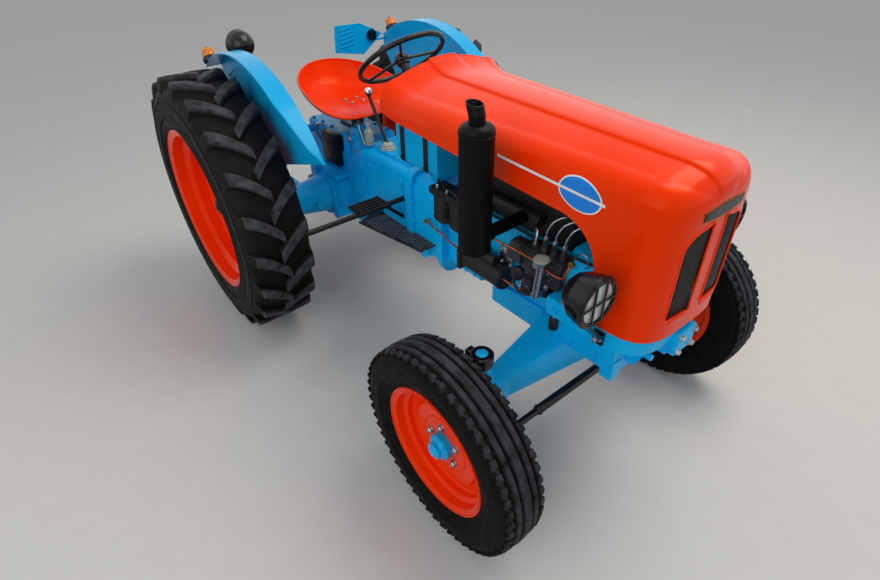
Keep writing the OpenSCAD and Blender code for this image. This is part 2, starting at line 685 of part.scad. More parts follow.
module rear_hub() color(black) about_axis() {
    translate([0, 0, rear_disc_y - 42]) cylinder(r = rear_hub_r, h = 70, $fn = 48);
    translate([0, 0, rear_disc_y + 27])
        cylinder(r1 = rear_hub_r - 6, r2 = rear_hub_r - 16, h = 10, $fn = 48);
    translate([0, 0, rear_disc_y - 26]) cylinder(r = rear_hub_r + 34, h = 16, $fn = 48);
    translate([0, 0, -84]) cylinder(r = 34, h = 84 + rear_disc_y - 40, $fn = 48);
}

module rear_tyre() {
    w = rear_tyre_w / 2;
    c = rear_tyre_r - lug_h;
    r = rear_rim_r + seam;
    rw = rear_rim_w / 2 - 8 - seam;
    color(black) about_axis() {
        rotate_extrude($fn = ring_fn) polygon([
            [r, rw + 6], [r + 70, w], [c - 46, w - 2], [c - 12, w - 26], [c, 30],
            [c, -30], [c - 12, -w + 26], [c - 46, -w + 2], [r + 70, -w], [r, -rw - 6]]);
        intersection() {
            for (i = [0:lug_count - 1], s = [-1, 1]) rotate([0, 0, (i + (s + 1) / 4) * 360 / lug_count])
                translate([c - 60, 0, s * (w / 2 + 4)]) rotate([s * 42, 0, 0])
                    translate([0, -lug_w / 2, -w * 0.66]) cube([lug_h + 60, lug_w, w * 1.32]);
            rotate_extrude($fn = ring_fn * 2) polygon([
                [c - 60, w - 4], [c - 30, w], [rear_tyre_r - 12, w], [rear_tyre_r, w - 20],
                [rear_tyre_r, -w + 20], [rear_tyre_r - 12, -w], [c - 30, -w], [c - 60, -w + 4]]);
        }
    }
}

module rear_wheel_place(side) {
    placed() on_side(side) translate([0, -rear_half, rear_tyre_r]) children();
}
module rear_rim_right() rear_wheel_place(-1) rear_rim();
module rear_rim_left() rear_wheel_place(1) rear_rim();
module rear_hub_right() rear_wheel_place(-1) rear_hub();
module rear_hub_left() rear_wheel_place(1) rear_hub();
module rear_tyre_right() rear_wheel_place(-1) rear_tyre();
module rear_tyre_left() rear_wheel_place(1) rear_tyre();

module front_rim() {
    w = front_rim_w / 2;
    r = front_rim_r;
    d = front_disc_y;
    h = front_hub_r + seam;
    color(orange) about_axis() rotate_extrude($fn = ring_fn) polygon([
        [r, w], [r, w - 6], [r - 16, w - 10], [r - 20, w - 34], [r - 34, w - 42],
        [r - 34, -w + 42], [r - 20, -w + 34], [r - 16, -w + 10], [r, -w + 6], [r, -w], [r - 6, -w],
        [r - 22, -w + 8],
        [r - 26, -w + 34], [r - 40, -w + 46], [r - 40, d - 24], [r - 74, d - 24], [r - 88, d - 6],
        [h, d - 6],
        [h, d], [r - 84, d], [r - 70, d - 18], [r - 46, d - 18], [r - 40, d - 12], [r - 40, w - 44],
        [r - 26, w - 34], [r - 22, w - 8], [r - 6, w]]);
}

module front_tyre() {
    w = front_tyre_w / 2;
    c = front_tyre_r;
    r = front_rim_r + seam;
    rw = front_rim_w / 2 - 6 - seam;
    color(black) about_axis() rotate_extrude($fn = ring_fn) polygon([
        [r, rw + 4], [r + 50, w], [c - 40, w - 2], [c - 12, w - 14], [c - 8, w - 22],
        [c - 15, w - 30], [c - 14, w - 36], [c - 2, w - 40], [c - 2, w - 54], [c - 13, w - 58], [c - 13, 15],
        [c, 12], [c, -12], [c - 13, -15], [c - 13, 58 - w], [c - 2, 54 - w], [c - 2, 40 - w],
        [c - 14, 36 - w], [c - 15, 30 - w], [c - 8, 22 - w], [c - 12, 14 - w], [c - 40, 2 - w],
        [r + 50, -w], [r, -rw - 4]]);
}

module front_hub() {
    color(blue) about_axis() difference() {
        union() {
            translate([0, 0, -60]) cylinder(r = front_hub_r, h = 60 + front_disc_y + 24, $fn = 48);
            translate([0, 0, -16])
                cylinder(r = front_hub_r + 40, h = front_disc_y - 6 + 16 - seam, $fn = 48);
            translate([0, 0, front_disc_y + 24])
                cylinder(r1 = front_hub_r - 2, r2 = front_hub_r - 12, h = 10, $fn = 48);
            translate([0, 0, front_disc_y + 33]) cylinder(r = 28, h = 12, $fn = 48);
            translate([0, 0, front_disc_y + 44]) cylinder(r1 = 25, r2 = 12, h = 10, $fn = 48);
        }
        translate([0, 0, -61]) cylinder(r = 18 + running, h = 80, $fn = 48);
    }
}

module front_wheel_place(side) {
    placed() on_side(side) translate([wheelbase, -front_half, front_tyre_r]) children();
}
module front_rim_right() front_wheel_place(-1) front_rim();
module front_rim_left() front_wheel_place(1) front_rim();
module front_tyre_right() front_wheel_place(-1) front_tyre();
module front_tyre_left() front_wheel_place(1) front_tyre();
module front_hub_right() front_wheel_place(-1) front_hub();
module front_hub_left() front_wheel_place(1) front_hub();

// Steering knuckle: king pin, stub axle, cap and track rod arm
module knuckle() color(blue) {
    translate([wheelbase, -kingpin_y, front_tyre_r - 40]) cylinder(r = kingpin_r, h = 290, $fn = 48);
    translate([wheelbase, -kingpin_y, front_tyre_r - 42])
        cylinder(r = 34, h = beam_z - 10 - seam - front_tyre_r + 42, $fn = 48);
    translate([wheelbase, -kingpin_y, beam_z + 140 + seam]) cylinder(r = 34, h = 66, $fn = 48);
    translate([wheelbase, -kingpin_y, beam_z + 200]) cylinder(r = 19, h = 10, $fn = 48);
    block([wheelbase - 60, -kingpin_y - 12, beam_z + 154], [wheelbase - 20, -kingpin_y + 12, beam_z + 190]);
    translate([wheelbase, -kingpin_y, front_tyre_r]) rotate([90, 0, 0])
        cylinder(r = 18, h = front_half - kingpin_y + 10, $fn = 48);
    translate([wheelbase, -kingpin_y, rod_z - 15 - seam - 28]) {
        translate([0, -16, 0]) cube([rod_arm, 32, 28]);
        translate([rod_arm, 0, 0]) cylinder(r = 18, h = 28, $fn = 32);
    }
}
module knuckle_right() placed() on_side(-1) knuckle();
module knuckle_left() placed() {
    on_side(1) knuckle();
    color(blue) {
        block([wheelbase - 16, kingpin_y - steer_arm, 634], [wheelbase + 16, kingpin_y, 660]);
        translate([wheelbase, kingpin_y - steer_arm, 634]) cylinder(r = 18, h = 26, $fn = 32);
    }
}

module track_rod() placed() color(black) {
    x = wheelbase + rod_arm;
    rod([x, -kingpin_y, rod_z], [x, kingpin_y, rod_z], rod_r);
    for (s = [-1, 1]) translate([x, s * kingpin_y, rod_z - 15]) cylinder(r = 17, h = 30, $fn = 32);
}

drop_pos = [bell_x + 56, 200, 902];
drop_len = 170;
module drop_arm() placed() color(black) {
    translate(drop_pos) rotate([-90, 0, 0]) cylinder(r = 28, h = 16, $fn = 32);
    translate(drop_pos - [0, 0, drop_len]) rotate([-90, 0, 0]) cylinder(r = 18, h = 16, $fn = 32);
    block(drop_pos - [15, 0, drop_len], drop_pos + [15, 16, 0]);
}

module drag_link() placed() color(black) {
    front = [wheelbase, kingpin_y - steer_arm, 676];
    rear = [drop_pos[0], 250, drop_pos[2] - drop_len];
    rod(front, rear, 12);
    translate([front[0], front[1], 660 + seam]) cylinder(r = 17, h = 30, $fn = 32);
    translate([rear[0], 236, rear[2]]) rotate([-90, 0, 0]) cylinder(r = 18, h = 28, $fn = 32);
}

module steering_wheel() placed() color(black) translate(hub_pos) rotate([0, -column_tilt, 0]) {
    rotate_extrude($fn = 64) translate([wheel_r, 0]) circle(wheel_rim_r, $fn = 16);
    translate([0, 0, -22]) cylinder(r = 26, h = 34, $fn = 32);
    for (a = [90, 210, 330]) rotate([0, 90, a]) cylinder(r = 6, h = wheel_r, $fn = 16);
}

// Bonnet: sections across X, each with a half width, a crown height and a raised middle strip
function blend(a, b, t) = a + (b - a) * t;
nose_start = nose_x - nose_l;
crown_l = 100;
lip_l = 110;
function half_at(x) = x < nose_start
    ? blend(bonnet_y, nose_y, pow((x - bonnet_x) / (nose_start - bonnet_x), 1.2))
    : nose_y * sqrt(max(0.0001, 1 - pow((x - nose_start) / nose_l, 2)));
function crown_at(x) = blend(bonnet_top, nose_top, (x - bonnet_x) / (nose_x - bonnet_x))
    + (x < bonnet_x + lip_l ? lip_h * pow(1 - (x - bonnet_x) / lip_l, 2) : 0)
    - (x > nose_x - crown_l ? 92 * (1 - sqrt(max(0, 1 - pow((x - nose_x + crown_l) / crown_l, 2)))) : 0);
function bonnet_section(x, inset, low) = let (h = half_at(x) - inset, t = crown_at(x) - inset,
    r = min(80, h * 0.5), drop = 34 * min(1, h / nose_y), e = h - r, z = t - drop - 7 - r,
    strip = min(60, h * 0.3),
    side = [[h, low], [h, z], for (a = [15:15:75]) [e + r * cos(a), z + r * sin(a)],
        [e * 0.72, t - 7 - drop * 0.5], [strip + 7, t - 7 - drop * 0.1], [strip, t - drop * 0.07]])
    concat([for (q = side) [x, q[0], q[1]]], [for (i = [len(side) - 1:-1:0]) [x, -side[i][0], side[i][1]]]);
module loft(rings) {
    n = len(rings[0]);
    m = len(rings);
    last = (m - 1) * n;
    polyhedron([for (r = rings) for (q = r) q],
        concat([for (i = [0:n / 2 - 2]) [i, i + 1, n - 2 - i, n - 1 - i]],
            [for (i = [0:n / 2 - 2]) [last + n - 1 - i, last + n - 2 - i, last + i + 1, last + i]],
            [for (k = [0:m - 2], i = [0:n - 1], h = [0, 1]) let (j = (i + 1) % n)
                h == 0 ? [k * n + i, (k + 1) * n + j, k * n + j]
                    : [k * n + i, (k + 1) * n + i, (k + 1) * n + j]]));
}
nose_steps = [0, 20, 38, 54, 66, 76, 83, 87.5];
function bonnet_stations(first) = concat([first, bonnet_x + lip_l * 0.25, bonnet_x + lip_l * 0.55,
    bonnet_x + lip_l, blend(bonnet_x, nose_start, 0.4), blend(bonnet_x, nose_start, 0.72)],
    [for (i = [0:(first < bonnet_x ? len(nose_steps) - 2 : len(nose_steps) - 1)])
        nose_start + nose_l * sin(nose_steps[i])]);
module bonnet_body(inset, low, first) {
    loft([for (x = bonnet_stations(first))
        [for (q = bonnet_section(max(x, bonnet_x), inset, low)) [x - inset, q[1], q[2]]]]);
}
// Place along X of the inside of the nose at a distance from the middle
nose_inside = [for (i = [len(nose_steps) - 2:-1:0]) let (x = nose_start + nose_l * sin(nose_steps[i]))
    [half_at(x) - sheet_t, x - sheet_t]];
function inside_x(y) = lookup(abs(y), nose_inside);

arch_r = 150;
arch_c = [nose_start - 160, 920];
open_in = 30;
open_out = 146;
open_z = 815;
open_top = 1110;
module bonnet() placed() color(orange) {
    difference() {
        intersection() {
            bonnet_body(0, nose_z, bonnet_x);
            side_plate(-400, 400) polygon(concat(
                [[bonnet_x - 40, bonnet_top + 90], [bonnet_x - 40, 1166], [bonnet_x, 1166], [910, 1150],
                    [1420, 1092]],
                arc(arch_c[0], arch_c[1], arch_r, 88, 0, 8),
                [[arch_c[0] + arch_r, nose_z - 40], [nose_x + 50, nose_z - 40],
                    [nose_x + 50, bonnet_top + 90]]));
        }
        difference() {
            bonnet_body(sheet_t, nose_z - 50, bonnet_x - 20);
            block([hinge_x - 60, -nose_y, hinge_z + 17], [nose_x, nose_y, hinge_z + 27]);
        }
        for (s = [-1, 1]) translate([nose_start, 0, 0]) rotate([90, 0, 90]) linear_extrude(nose_l + 60)
            polygon(concat([[s * open_in, open_z], [s * open_out, open_z]],
                [for (q = arc(open_out - 56, open_top - 56, 56, 0, 90, 5)) [s * q[0], q[1]]],
                [[s * open_in, open_top + 4]]));
    }
}

module grille() placed() color(black) {
    ys = [for (i = [0:12]) -open_out + i * open_out / 6];
    for (z = [open_z - 12, open_top + 2]) translate([0, 0, z]) linear_extrude(8)
        polygon(concat([for (y = ys) [inside_x(y) - seam, y]],
            [for (i = [12:-1:0]) [inside_x(ys[i]) - 8, ys[i]]]));
    for (s = [-1, 1], i = [0:grille_bars - 1]) {
        y = open_in + 2 + i * (open_out - open_in - 6) / (grille_bars - 1);
        x = inside_x(y + 4);
        block([x - 7, s * (y + 2) - 2, open_z - 6], [x - seam, s * (y + 2) + 2, open_top + 6]);
    }
}

// Hinge bar under the nose with two straps up to the shelf inside the bonnet
module bonnet_hinge() placed() color(black) {
    translate([hinge_x, 100, hinge_z]) rotate([90, 0, 0]) cylinder(r = 8, h = 200, $fn = 32);
    for (s = [-1, 1]) block([hinge_x - 8, s * 88 - 4, hinge_z - 6], [hinge_x + 8, s * 88 + 4, hinge_z + 17]);
}

gearbox();
axle_housing_right();
axle_housing_left();
engine_block();
oil_sump();
cylinder_head();
timing_case();
starter_motor();
oil_filler();
injection_pump();
oil_filters();
exhaust();
radiator();
fuel_tank();
front_bolster();
front_beam();
headlamp_right();
headlamp_left();
headlamp_glasses();
steering_column();
dash_panel();
seat_pan();
seat_spring();
fender_right();
fender_left();
work_lamp();
side_lamps();
plate_panel();
tail_lamp();
foot_rests();
gear_levers();
hydraulic_valve();
drawbar();
pto_shaft();
hitch_links();
rear_rim_right();
rear_tyre_right();
rear_hub_right();
rear_rim_left();
rear_tyre_left();
rear_hub_left();
front_rim_right();
front_tyre_right();
front_hub_right();
front_rim_left();
front_tyre_left();
front_hub_left();
knuckle_right();
knuckle_left();
track_rod();
drop_arm();
drag_link();
steering_wheel();
bonnet();
grille();
bonnet_hinge();
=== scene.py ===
import logging
import math
from dataclasses import dataclass
from enum import Enum
from typing import Any, Callable, Sequence

import bmesh
import bpy
from mathutils import Matrix, Vector
from mathutils.bvhtree import BVHTree

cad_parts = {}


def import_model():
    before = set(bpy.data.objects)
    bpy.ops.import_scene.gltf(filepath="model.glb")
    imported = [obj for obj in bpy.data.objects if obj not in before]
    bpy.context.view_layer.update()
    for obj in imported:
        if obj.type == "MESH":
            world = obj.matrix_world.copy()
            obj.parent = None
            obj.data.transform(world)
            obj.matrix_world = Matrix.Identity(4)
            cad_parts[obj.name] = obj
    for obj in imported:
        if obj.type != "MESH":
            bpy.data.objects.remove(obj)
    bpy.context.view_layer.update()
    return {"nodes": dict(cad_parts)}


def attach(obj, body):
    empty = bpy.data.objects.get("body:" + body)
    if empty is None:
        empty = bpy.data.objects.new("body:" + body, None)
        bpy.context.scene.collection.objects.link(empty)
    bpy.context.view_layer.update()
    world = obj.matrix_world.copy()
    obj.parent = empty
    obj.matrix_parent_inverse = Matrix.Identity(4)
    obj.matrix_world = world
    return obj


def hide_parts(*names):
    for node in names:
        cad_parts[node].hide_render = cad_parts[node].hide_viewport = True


LOG = logging.getLogger("tractor")

# Every length below is in millimetres: X forward from the rear wheel axis, Y to the left from the
# middle, Z up from the ground. AXIS_SHIFT takes X to the frame's origin, and MM takes all to metres.
MM = 0.001
AXIS_SHIFT = -684.0

# The arc of the fenders, which the side lamps stand on too
FENDER_R = 648.0
FENDER_X = 140.0
FENDER_Z = 620.0

Point = Sequence[float]
Tree = bpy.types.NodeTree
Node = bpy.types.Node
Socket = bpy.types.NodeSocket
Part = bmesh.types.BMesh
CadNodes = dict[str, bpy.types.Object]

# The six ways, as axes
AHEAD = (1, 0, 0)
BACK = (-1, 0, 0)
LEFT = (0, 1, 0)
RIGHT = (0, -1, 0)
UP = (0, 0, 1)
DOWN = (0, 0, -1)


class Side(Enum):
    """The machine's two sides, by the sign of their Y."""

    RIGHT = -1
    LEFT = 1

    @property
    def word(self) -> str:
        """The side's name as it stands in piece and body names."""
        return self.name.lower()


class Slot(Enum):
    """The record's material slots."""

    BLUE = "blue_paint"
    ORANGE = "orange_paint"
    BLACK = "black_paint"
    ENGINE = "engine_black"
    CASTING = "blue_casting"
    RUBBER = "tyre_rubber"
    STEEL = "bright_steel"
    GLASS = "lamp_glass"
    PLASTIC = "black_plastic"
    AMBER = "amber_lens"


# ---------------- finishes


def linear(hex_colour: str) -> tuple[float, float, float, float]:
    """Turns an sRGB hex colour into linear light.

    Args:
        hex_colour: the colour as #rrggbb.

    Returns:
        Red, green, blue and an alpha of one.
    """
    parts = [int(hex_colour[i:i + 2], 16) / 255 for i in (1, 3, 5)]
    light = [c / 12.92 if c <= 0.04045 else ((c + 0.055) / 1.055) ** 2.4 for c in parts]
    return (light[0], light[1], light[2], 1.0)


def add_node(tree: Tree, kind: str, settings: dict[str, Any] | None = None,
             inputs: dict[Any, Any] | None = None) -> Node:
    """Adds a node with its settings, and fills or links its sockets.

    Args:
        tree: the node tree to add to.
        kind: the node's type name.
        settings: properties of the node.
        inputs: socket name or number to a value, or to the socket that feeds it.

    Returns:
        The new node.
    """
    made = tree.nodes.new(kind)
    for key, value in (settings or {}).items():
        setattr(made, key, value)
    for key, value in (inputs or {}).items():
        if isinstance(value, Socket):
            tree.links.new(value, made.inputs[key])
        else:
            made.inputs[key].default_value = value
    return made


@dataclass(frozen=True)
class Finish:
    """A painted, cast or moulded surface: two close tones, a grain and softened edges.

    The tones change over patch_mm and the grain is grain_mm wide. On paint, rubber or plastic, shine is
    the strength of the reflection and gleam is its colour.
    """

    name: str
    colour: str
    tone: str
    patch_mm: float = 160.0
    rough_low: float = 0.25
    rough_high: float = 0.35
    grain_mm: float = 2.0
    grain_depth_mm: float = 0.01
    metallic: float = 0.0
    coat: float = 0.0
    coat_rough: float = 0.06
    shine: float = 0.3
    gleam: str = "#ffffff"
    edge_mm: float = 1.5

    def material(self) -> bpy.types.Material:
        """The finish as a Blender material, made once.

        Returns:
            The material.
        """
        known = bpy.data.materials.get(self.name)
        if known:
            return known
        made = bpy.data.materials.new(self.name)
        made.use_nodes = True
        tree = made.node_tree
        shader = tree.nodes["Principled BSDF"]
        place = add_node(tree, "ShaderNodeTexCoord").outputs["Object"]
        self.colour_in(tree, shader, place)
        self.surface(tree, shader, place)
        shader.inputs["Metallic"].default_value = self.metallic
        if not self.metallic:
            shader.inputs["Specular IOR Level"].default_value = self.shine
            shader.inputs["Specular Tint"].default_value = linear(self.gleam)
        shader.inputs["Coat Weight"].default_value = self.coat
        shader.inputs["Coat Roughness"].default_value = self.coat_rough
        return made

    def noise(self, tree: Tree, place: Socket, size_mm: float,
              detail: float = 3.0) -> Socket:
        """Noise whose patches are a given size.

        Args:
            tree: the node tree.
            place: the coordinates to read.
            size_mm: the size of a patch.
            detail: how many finer layers the noise has.

        Returns:
            The noise's factor.
        """
        return add_node(tree, "ShaderNodeTexNoise", None, {
            "Vector": place, "Scale": 1000.0 / size_mm, "Detail": detail}).outputs["Fac"]

    def blend(self, tree: Tree, factor: Socket, low: Any, high: Any,
              start: float = 0.3, stop: float = 0.7) -> Socket:
        """Mixes two colours over a part of a factor's range.

        Args:
            tree: the node tree.
            factor: what the mix follows.
            low: the colour below start, a hex colour or a socket.
            high: the colour above stop, a hex colour or a socket.
            start: where the change begins.
            stop: where it ends.

        Returns:
            The mixed colour.
        """
        ramp = add_node(tree, "ShaderNodeMapRange", None, {
            "Value": factor, "From Min": start, "From Max": stop})
        return add_node(tree, "ShaderNodeMix", {"data_type": "RGBA"}, {
            0: ramp.outputs[0],
            6: linear(low) if isinstance(low, str) else low,
            7: linear(high) if isinstance(high, str) else high}).outputs[2]

    def colour_in(self, tree: Tree, shader: Node, place: Socket) -> None:
        """Feeds the base colour.

        Args:
            tree: the node tree.
            shader: the surface's shader.
            place: the coordinates to read.
        """
        tree.links.new(self.blend(tree, self.noise(tree, place, self.patch_mm), self.colour, self.tone),
                       shader.inputs["Base Color"])

    def surface(self, tree: Tree, shader: Node, place: Socket) -> None:
        """Feeds the roughness and the grain, over softened edges.

        Args:
            tree: the node tree.
            shader: the surface's shader.
            place: the coordinates to read.
        """
        spread = add_node(tree, "ShaderNodeMapRange", None, {
            "Value": self.noise(tree, place, self.patch_mm * 0.4), "From Min": 0.3, "From Max": 0.7,
            "To Min": self.rough_low, "To Max": self.rough_high})
        tree.links.new(spread.outputs[0], shader.inputs["Roughness"])
        edge = add_node(tree, "ShaderNodeBevel", {"samples": 4}, {"Radius": self.edge_mm * MM})
        bump = add_node(tree, "ShaderNodeBump", None, {
            "Height": self.noise(tree, place, self.grain_mm), "Distance": self.grain_depth_mm * MM,
            "Normal": edge.outputs[0]})
        tree.links.new(bump.outputs[0], shader.inputs["Normal"])


@dataclass(frozen=True)
class TreadRubber(Finish):
    """Tyre rubber, black in the casing and dusty grey where the tread meets the road."""

    axis_x: float = 0.0
    axis_z: float = 594.0
    worn_r: float = 580.0
    worn: str = "#46494e"
    dust_mm: float = 35.0
    fade_in: float = 7.0
    fade_out: float = 3.0

    def colour_in(self, tree: Tree, shader: Node, place: Socket) -> None:
        """Feeds the base colour, greyer further from the wheel's axis.

        Args:
            tree: the node tree.
            shader: the surface's shader.
            place: the coordinates to read.
        """
        spoke = add_node(tree, "ShaderNodeMapping", None, {
            "Vector": place, "Location": ((-self.axis_x - AXIS_SHIFT) * MM, 0.0, -self.axis_z * MM),
            "Scale": (1.0, 0.0, 1.0)})
        reach = add_node(tree, "ShaderNodeVectorMath", {"operation": "LENGTH"}, {0: spoke.outputs[0]})
        plain = self.blend(tree, self.noise(tree, place, self.patch_mm), self.colour, self.tone)
        dust = self.blend(tree, self.noise(tree, place, self.dust_mm, 6.0), self.worn, self.tone, 0.35, 0.75)
        tree.links.new(self.blend(tree, reach.outputs["Value"], plain, dust,
                                  (self.worn_r - self.fade_in) * MM, (self.worn_r + self.fade_out) * MM),
                       shader.inputs["Base Color"])


@dataclass(frozen=True)
class ClearGlass(Finish):
    """Moulded lens glass, clear and smooth."""

    clear: float = 0.92
    ior: float = 1.5

    def colour_in(self, tree: Tree, shader: Node, place: Socket) -> None:
        """Feeds the base colour and lets light through.

        Args:
            tree: the node tree.
            shader: the surface's shader.
            place: the coordinates to read.
        """
        super().colour_in(tree, shader, place)
        shader.inputs["Transmission Weight"].default_value = self.clear
        shader.inputs["IOR"].default_value = self.ior


@dataclass(frozen=True)
class FinnedCore(Finish):
    """Radiator core: thin fins, drawn 6 mm apart, wider than real, so that they show."""

    fin_mm: float = 6.0
    fin_depth_mm: float = 1.0

    def surface(self, tree: Tree, shader: Node, place: Socket) -> None:
        """Feeds the roughness and the fins.

        Args:
            tree: the node tree.
            shader: the surface's shader.
            place: the coordinates to read.
        """
        shader.inputs["Roughness"].default_value = self.rough_high
        fins = add_node(tree, "ShaderNodeTexWave", {"bands_direction": "Z"}, {
            "Vector": place, "Scale": 1000.0 / self.fin_mm / 2.0})
        bump = add_node(tree, "ShaderNodeBump", None, {
            "Height": fins.outputs["Fac"], "Distance": self.fin_depth_mm * MM})
        tree.links.new(bump.outputs[0], shader.inputs["Normal"])


# Enamel sprayed on pressed sheet: one even bright orange with a clear, warm sheen and a faint orange peel
ENAMEL_ORANGE = Finish("EnamelOrange", "#f83a00", "#f23200", 220.0, 0.2, 0.28, 3.0, 0.012, coat=0.05,
                       gleam="#ff9a48")
# The same sprayed enamel in light blue, on the fenders, tank and tail panel: even, with a cool sheen
ENAMEL_BLUE = Finish("EnamelBlue", "#08aeea", "#06a4e0", 220.0, 0.22, 0.3, 3.0, 0.012, coat=0.05,
                     gleam="#a8ecff")
# The same blue brushed thickly over sand-cast iron: pitted, and a little less shiny
CASTING_BLUE = Finish("CastingBlue", "#02c0ff", "#02b0f4", 90.0, 0.28, 0.44, 5.0, 0.28, gleam="#a8ecff",
                      edge_mm=3.0)
# The blue on the front hubs and caps, which are turned smooth: a tighter highlight than on the castings
HUB_BLUE = Finish("HubBlue", "#14b6f4", "#10a8e8", 60.0, 0.26, 0.36, 3.0, 0.06, gleam="#a8ecff",
                  edge_mm=2.0)
# Black enamel on pressed and turned steel: nearly black, with sharp highlights
GLOSS_BLACK = Finish("GlossBlackEnamel", "#08080a", "#0e0e10", 120.0, 0.16, 0.26, 3.0, 0.01, coat=0.06)
# Black enamel on the thin grille slats: a dark grey, since their many edges catch the light
SLAT_BLACK = Finish("SlatBlackEnamel", "#202124", "#2a2b2f", 60.0, 0.25, 0.35, 2.0, 0.01, shine=0.6)
# Black paint brushed on welded and forged steel: broad, soft highlights
SATIN_BLACK = Finish("SatinBlackPaint", "#0f0f11", "#161618", 70.0, 0.38, 0.52, 2.5, 0.03)
# Heat-proof stove paint on the silencer: the deepest black, with a weak, soft shine
STOVE_BLACK = Finish("StoveBlackPaint", "#050506", "#0a0a0b", 90.0, 0.34, 0.46, 1.6, 0.03, shine=0.1)
# Engine paint over cast aluminium and iron: black, dulled by oil and a little uneven
ENGINE_BLACK = Finish("EngineBlackPaint", "#111214", "#1d1e21", 45.0, 0.4, 0.62, 3.0, 0.16)
# Bare cast aluminium of the injection pump: dull grey, darkened by fuel
PUMP_ALLOY = Finish("CastAluminium", "#45474b", "#2b2d31", 30.0, 0.38, 0.6, 2.5, 0.12, metallic=0.55)
# Zinc-plated steel of bolts, pipes and linkage: a pale, bright metal with cloudy patches
ZINC_STEEL = Finish("ZincPlatedSteel", "#b9bcc2", "#8d9096", 12.0, 0.22, 0.42, 1.0, 0.01,
                    metallic=1.0, edge_mm=0.6)
# Steel treads of the step plates, their paint worn through: grey, and half as bright as plating
TREAD_STEEL = Finish("WornTreadSteel", "#9a9ca0", "#6c6e72", 30.0, 0.35, 0.55, 2.0, 0.05, metallic=0.3)
# Chromed steel of the lever's ball and the dial's rims: a mirror
CHROME = Finish("ChromedSteel", "#dfe1e4", "#cfd2d6", 20.0, 0.06, 0.12, 2.0, 0.002,
                metallic=1.0, edge_mm=0.6)
# Drawn copper tube: half tarnished, from pink to brown
COPPER_TUBE = Finish("CopperTube", "#c26a44", "#8a4a34", 25.0, 0.25, 0.45, 2.0, 0.01,
                     metallic=0.9, edge_mm=0.5)
# Turned brass of the pipe unions and the badge's border: a warm yellow, dulled in patches
BRASS = Finish("BrassUnion", "#b58a3c", "#8a6a30", 15.0, 0.3, 0.45, 1.5, 0.01, metallic=0.9, edge_mm=0.5)
# White stoving paint of the stripes, the oval's border and the dial's marks: flat and clean
WHITE_PAINT = Finish("WhitePaint", "#f2f3f2", "#e9eaea", 60.0, 0.25, 0.35, 2.0, 0.004, edge_mm=0.3)
# Blue stoving paint of the ovals: one deep, even tone
OVAL_BLUE = Finish("SignBluePaint", "#1288ea", "#0e80e0", 60.0, 0.2, 0.3, 2.0, 0.004, edge_mm=0.3)
# Fired black enamel of the badge bar: black and glassy
BADGE_BLACK = Finish("BadgeBlackEnamel", "#101012", "#1a1a1d", 20.0, 0.2, 0.3, 1.5, 0.01, edge_mm=0.5)
# Moulded lens glass: clear, so that the silvered bowl shows through it
LENS_GLASS = ClearGlass("LensGlass", "#f4f8fa", "#eef3f6", 40.0, 0.02, 0.05, 4.0, 0.01, edge_mm=0.5)
# Silvered bowl behind the glass: near white, scattering the light as the ribs of a real lens make it
REFLECTOR = Finish("SilveredReflector", "#ffffff", "#f2f4f4", 18.0, 0.3, 0.4, 3.0, 0.02, shine=0.5)
# Moulded amber acrylic of the side lamps: a glossy, saturated orange-yellow
AMBER_PLASTIC = Finish("AmberAcrylic", "#f08a10", "#e07a08", 20.0, 0.1, 0.2, 1.5, 0.01, coat=0.4)
# Moulded red acrylic of the tail lamp and tell-tales: glossy and dark
RED_PLASTIC = Finish("RedAcrylic", "#b01410", "#980e0c", 20.0, 0.1, 0.2, 1.5, 0.01, coat=0.4)
# Moulded black phenolic of the steering wheel and switches: smooth and black, with a narrow highlight
PHENOLIC = Finish("BlackPhenolic", "#101011", "#18181a", 50.0, 0.2, 0.32, 2.0, 0.01)
# Moulded rubber of the tyre valves and rim plugs: charcoal and dull
PLAIN_RUBBER = Finish("MouldedRubber", "#18191b", "#222326", 30.0, 0.6, 0.8, 1.5, 0.05)
# Pale moulded rubber and plastic of the boots, caps and bottle: a greenish off-white, matt
PALE_RUBBER = Finish("PaleRubberBoot", "#b9bdb0", "#a5a99c", 15.0, 0.5, 0.7, 1.5, 0.04)
# Tyre rubber of the rear wheels: matt black walls, and lugs whose tops are grey with dust
REAR_RUBBER = TreadRubber("RearTyreRubber", "#0e0f10", "#161719", 60.0, 0.5, 0.72, 3.0, 0.18,
                          shine=0.1, edge_mm=4.0)
# Tyre rubber of the front wheels: newer, so blacker, with less dust on the ribs
FRONT_RUBBER = TreadRubber("FrontTyreRubber", "#070808", "#0e0f10", 60.0, 0.5, 0.72, 2.5, 0.12,
                           shine=0.07, edge_mm=2.5, axis_x=1600.0, axis_z=360.0, worn_r=352.0,
                           worn="#3c3f44")
# Black-painted copper fins of the radiator: a dark, finely ribbed face behind the slats
CORE_BLACK = FinnedCore("RadiatorCore", "#0d0d0e", "#151516", 60.0, 0.5, 0.6, 2.0, 0.02)
# Power-floated pale concrete: matt and nearly even
FLOOR = Finish("PaleConcrete", "#d2d2cf", "#cfcfcc", 90.0, 0.8, 0.9, 3.0, 0.06)


# ---------------- mesh work


def soften(part: Part, offset: float, segments: int, bend: float) -> None:
    """Rounds the edges of a part that are bent by more than an angle.

    Args:
        part: the part's bmesh.
        offset: how far in from the edge the round starts.
        segments: faces across the round.
        bend: the angle, in radians.
    """
    sharp = [edge for edge in part.edges if len(edge.link_faces) == 2 and edge.calc_face_angle() > bend]
    bmesh.ops.bevel(part, geom=sharp, offset=offset, segments=segments, profile=0.5, affect="EDGES",
                    material=-1)


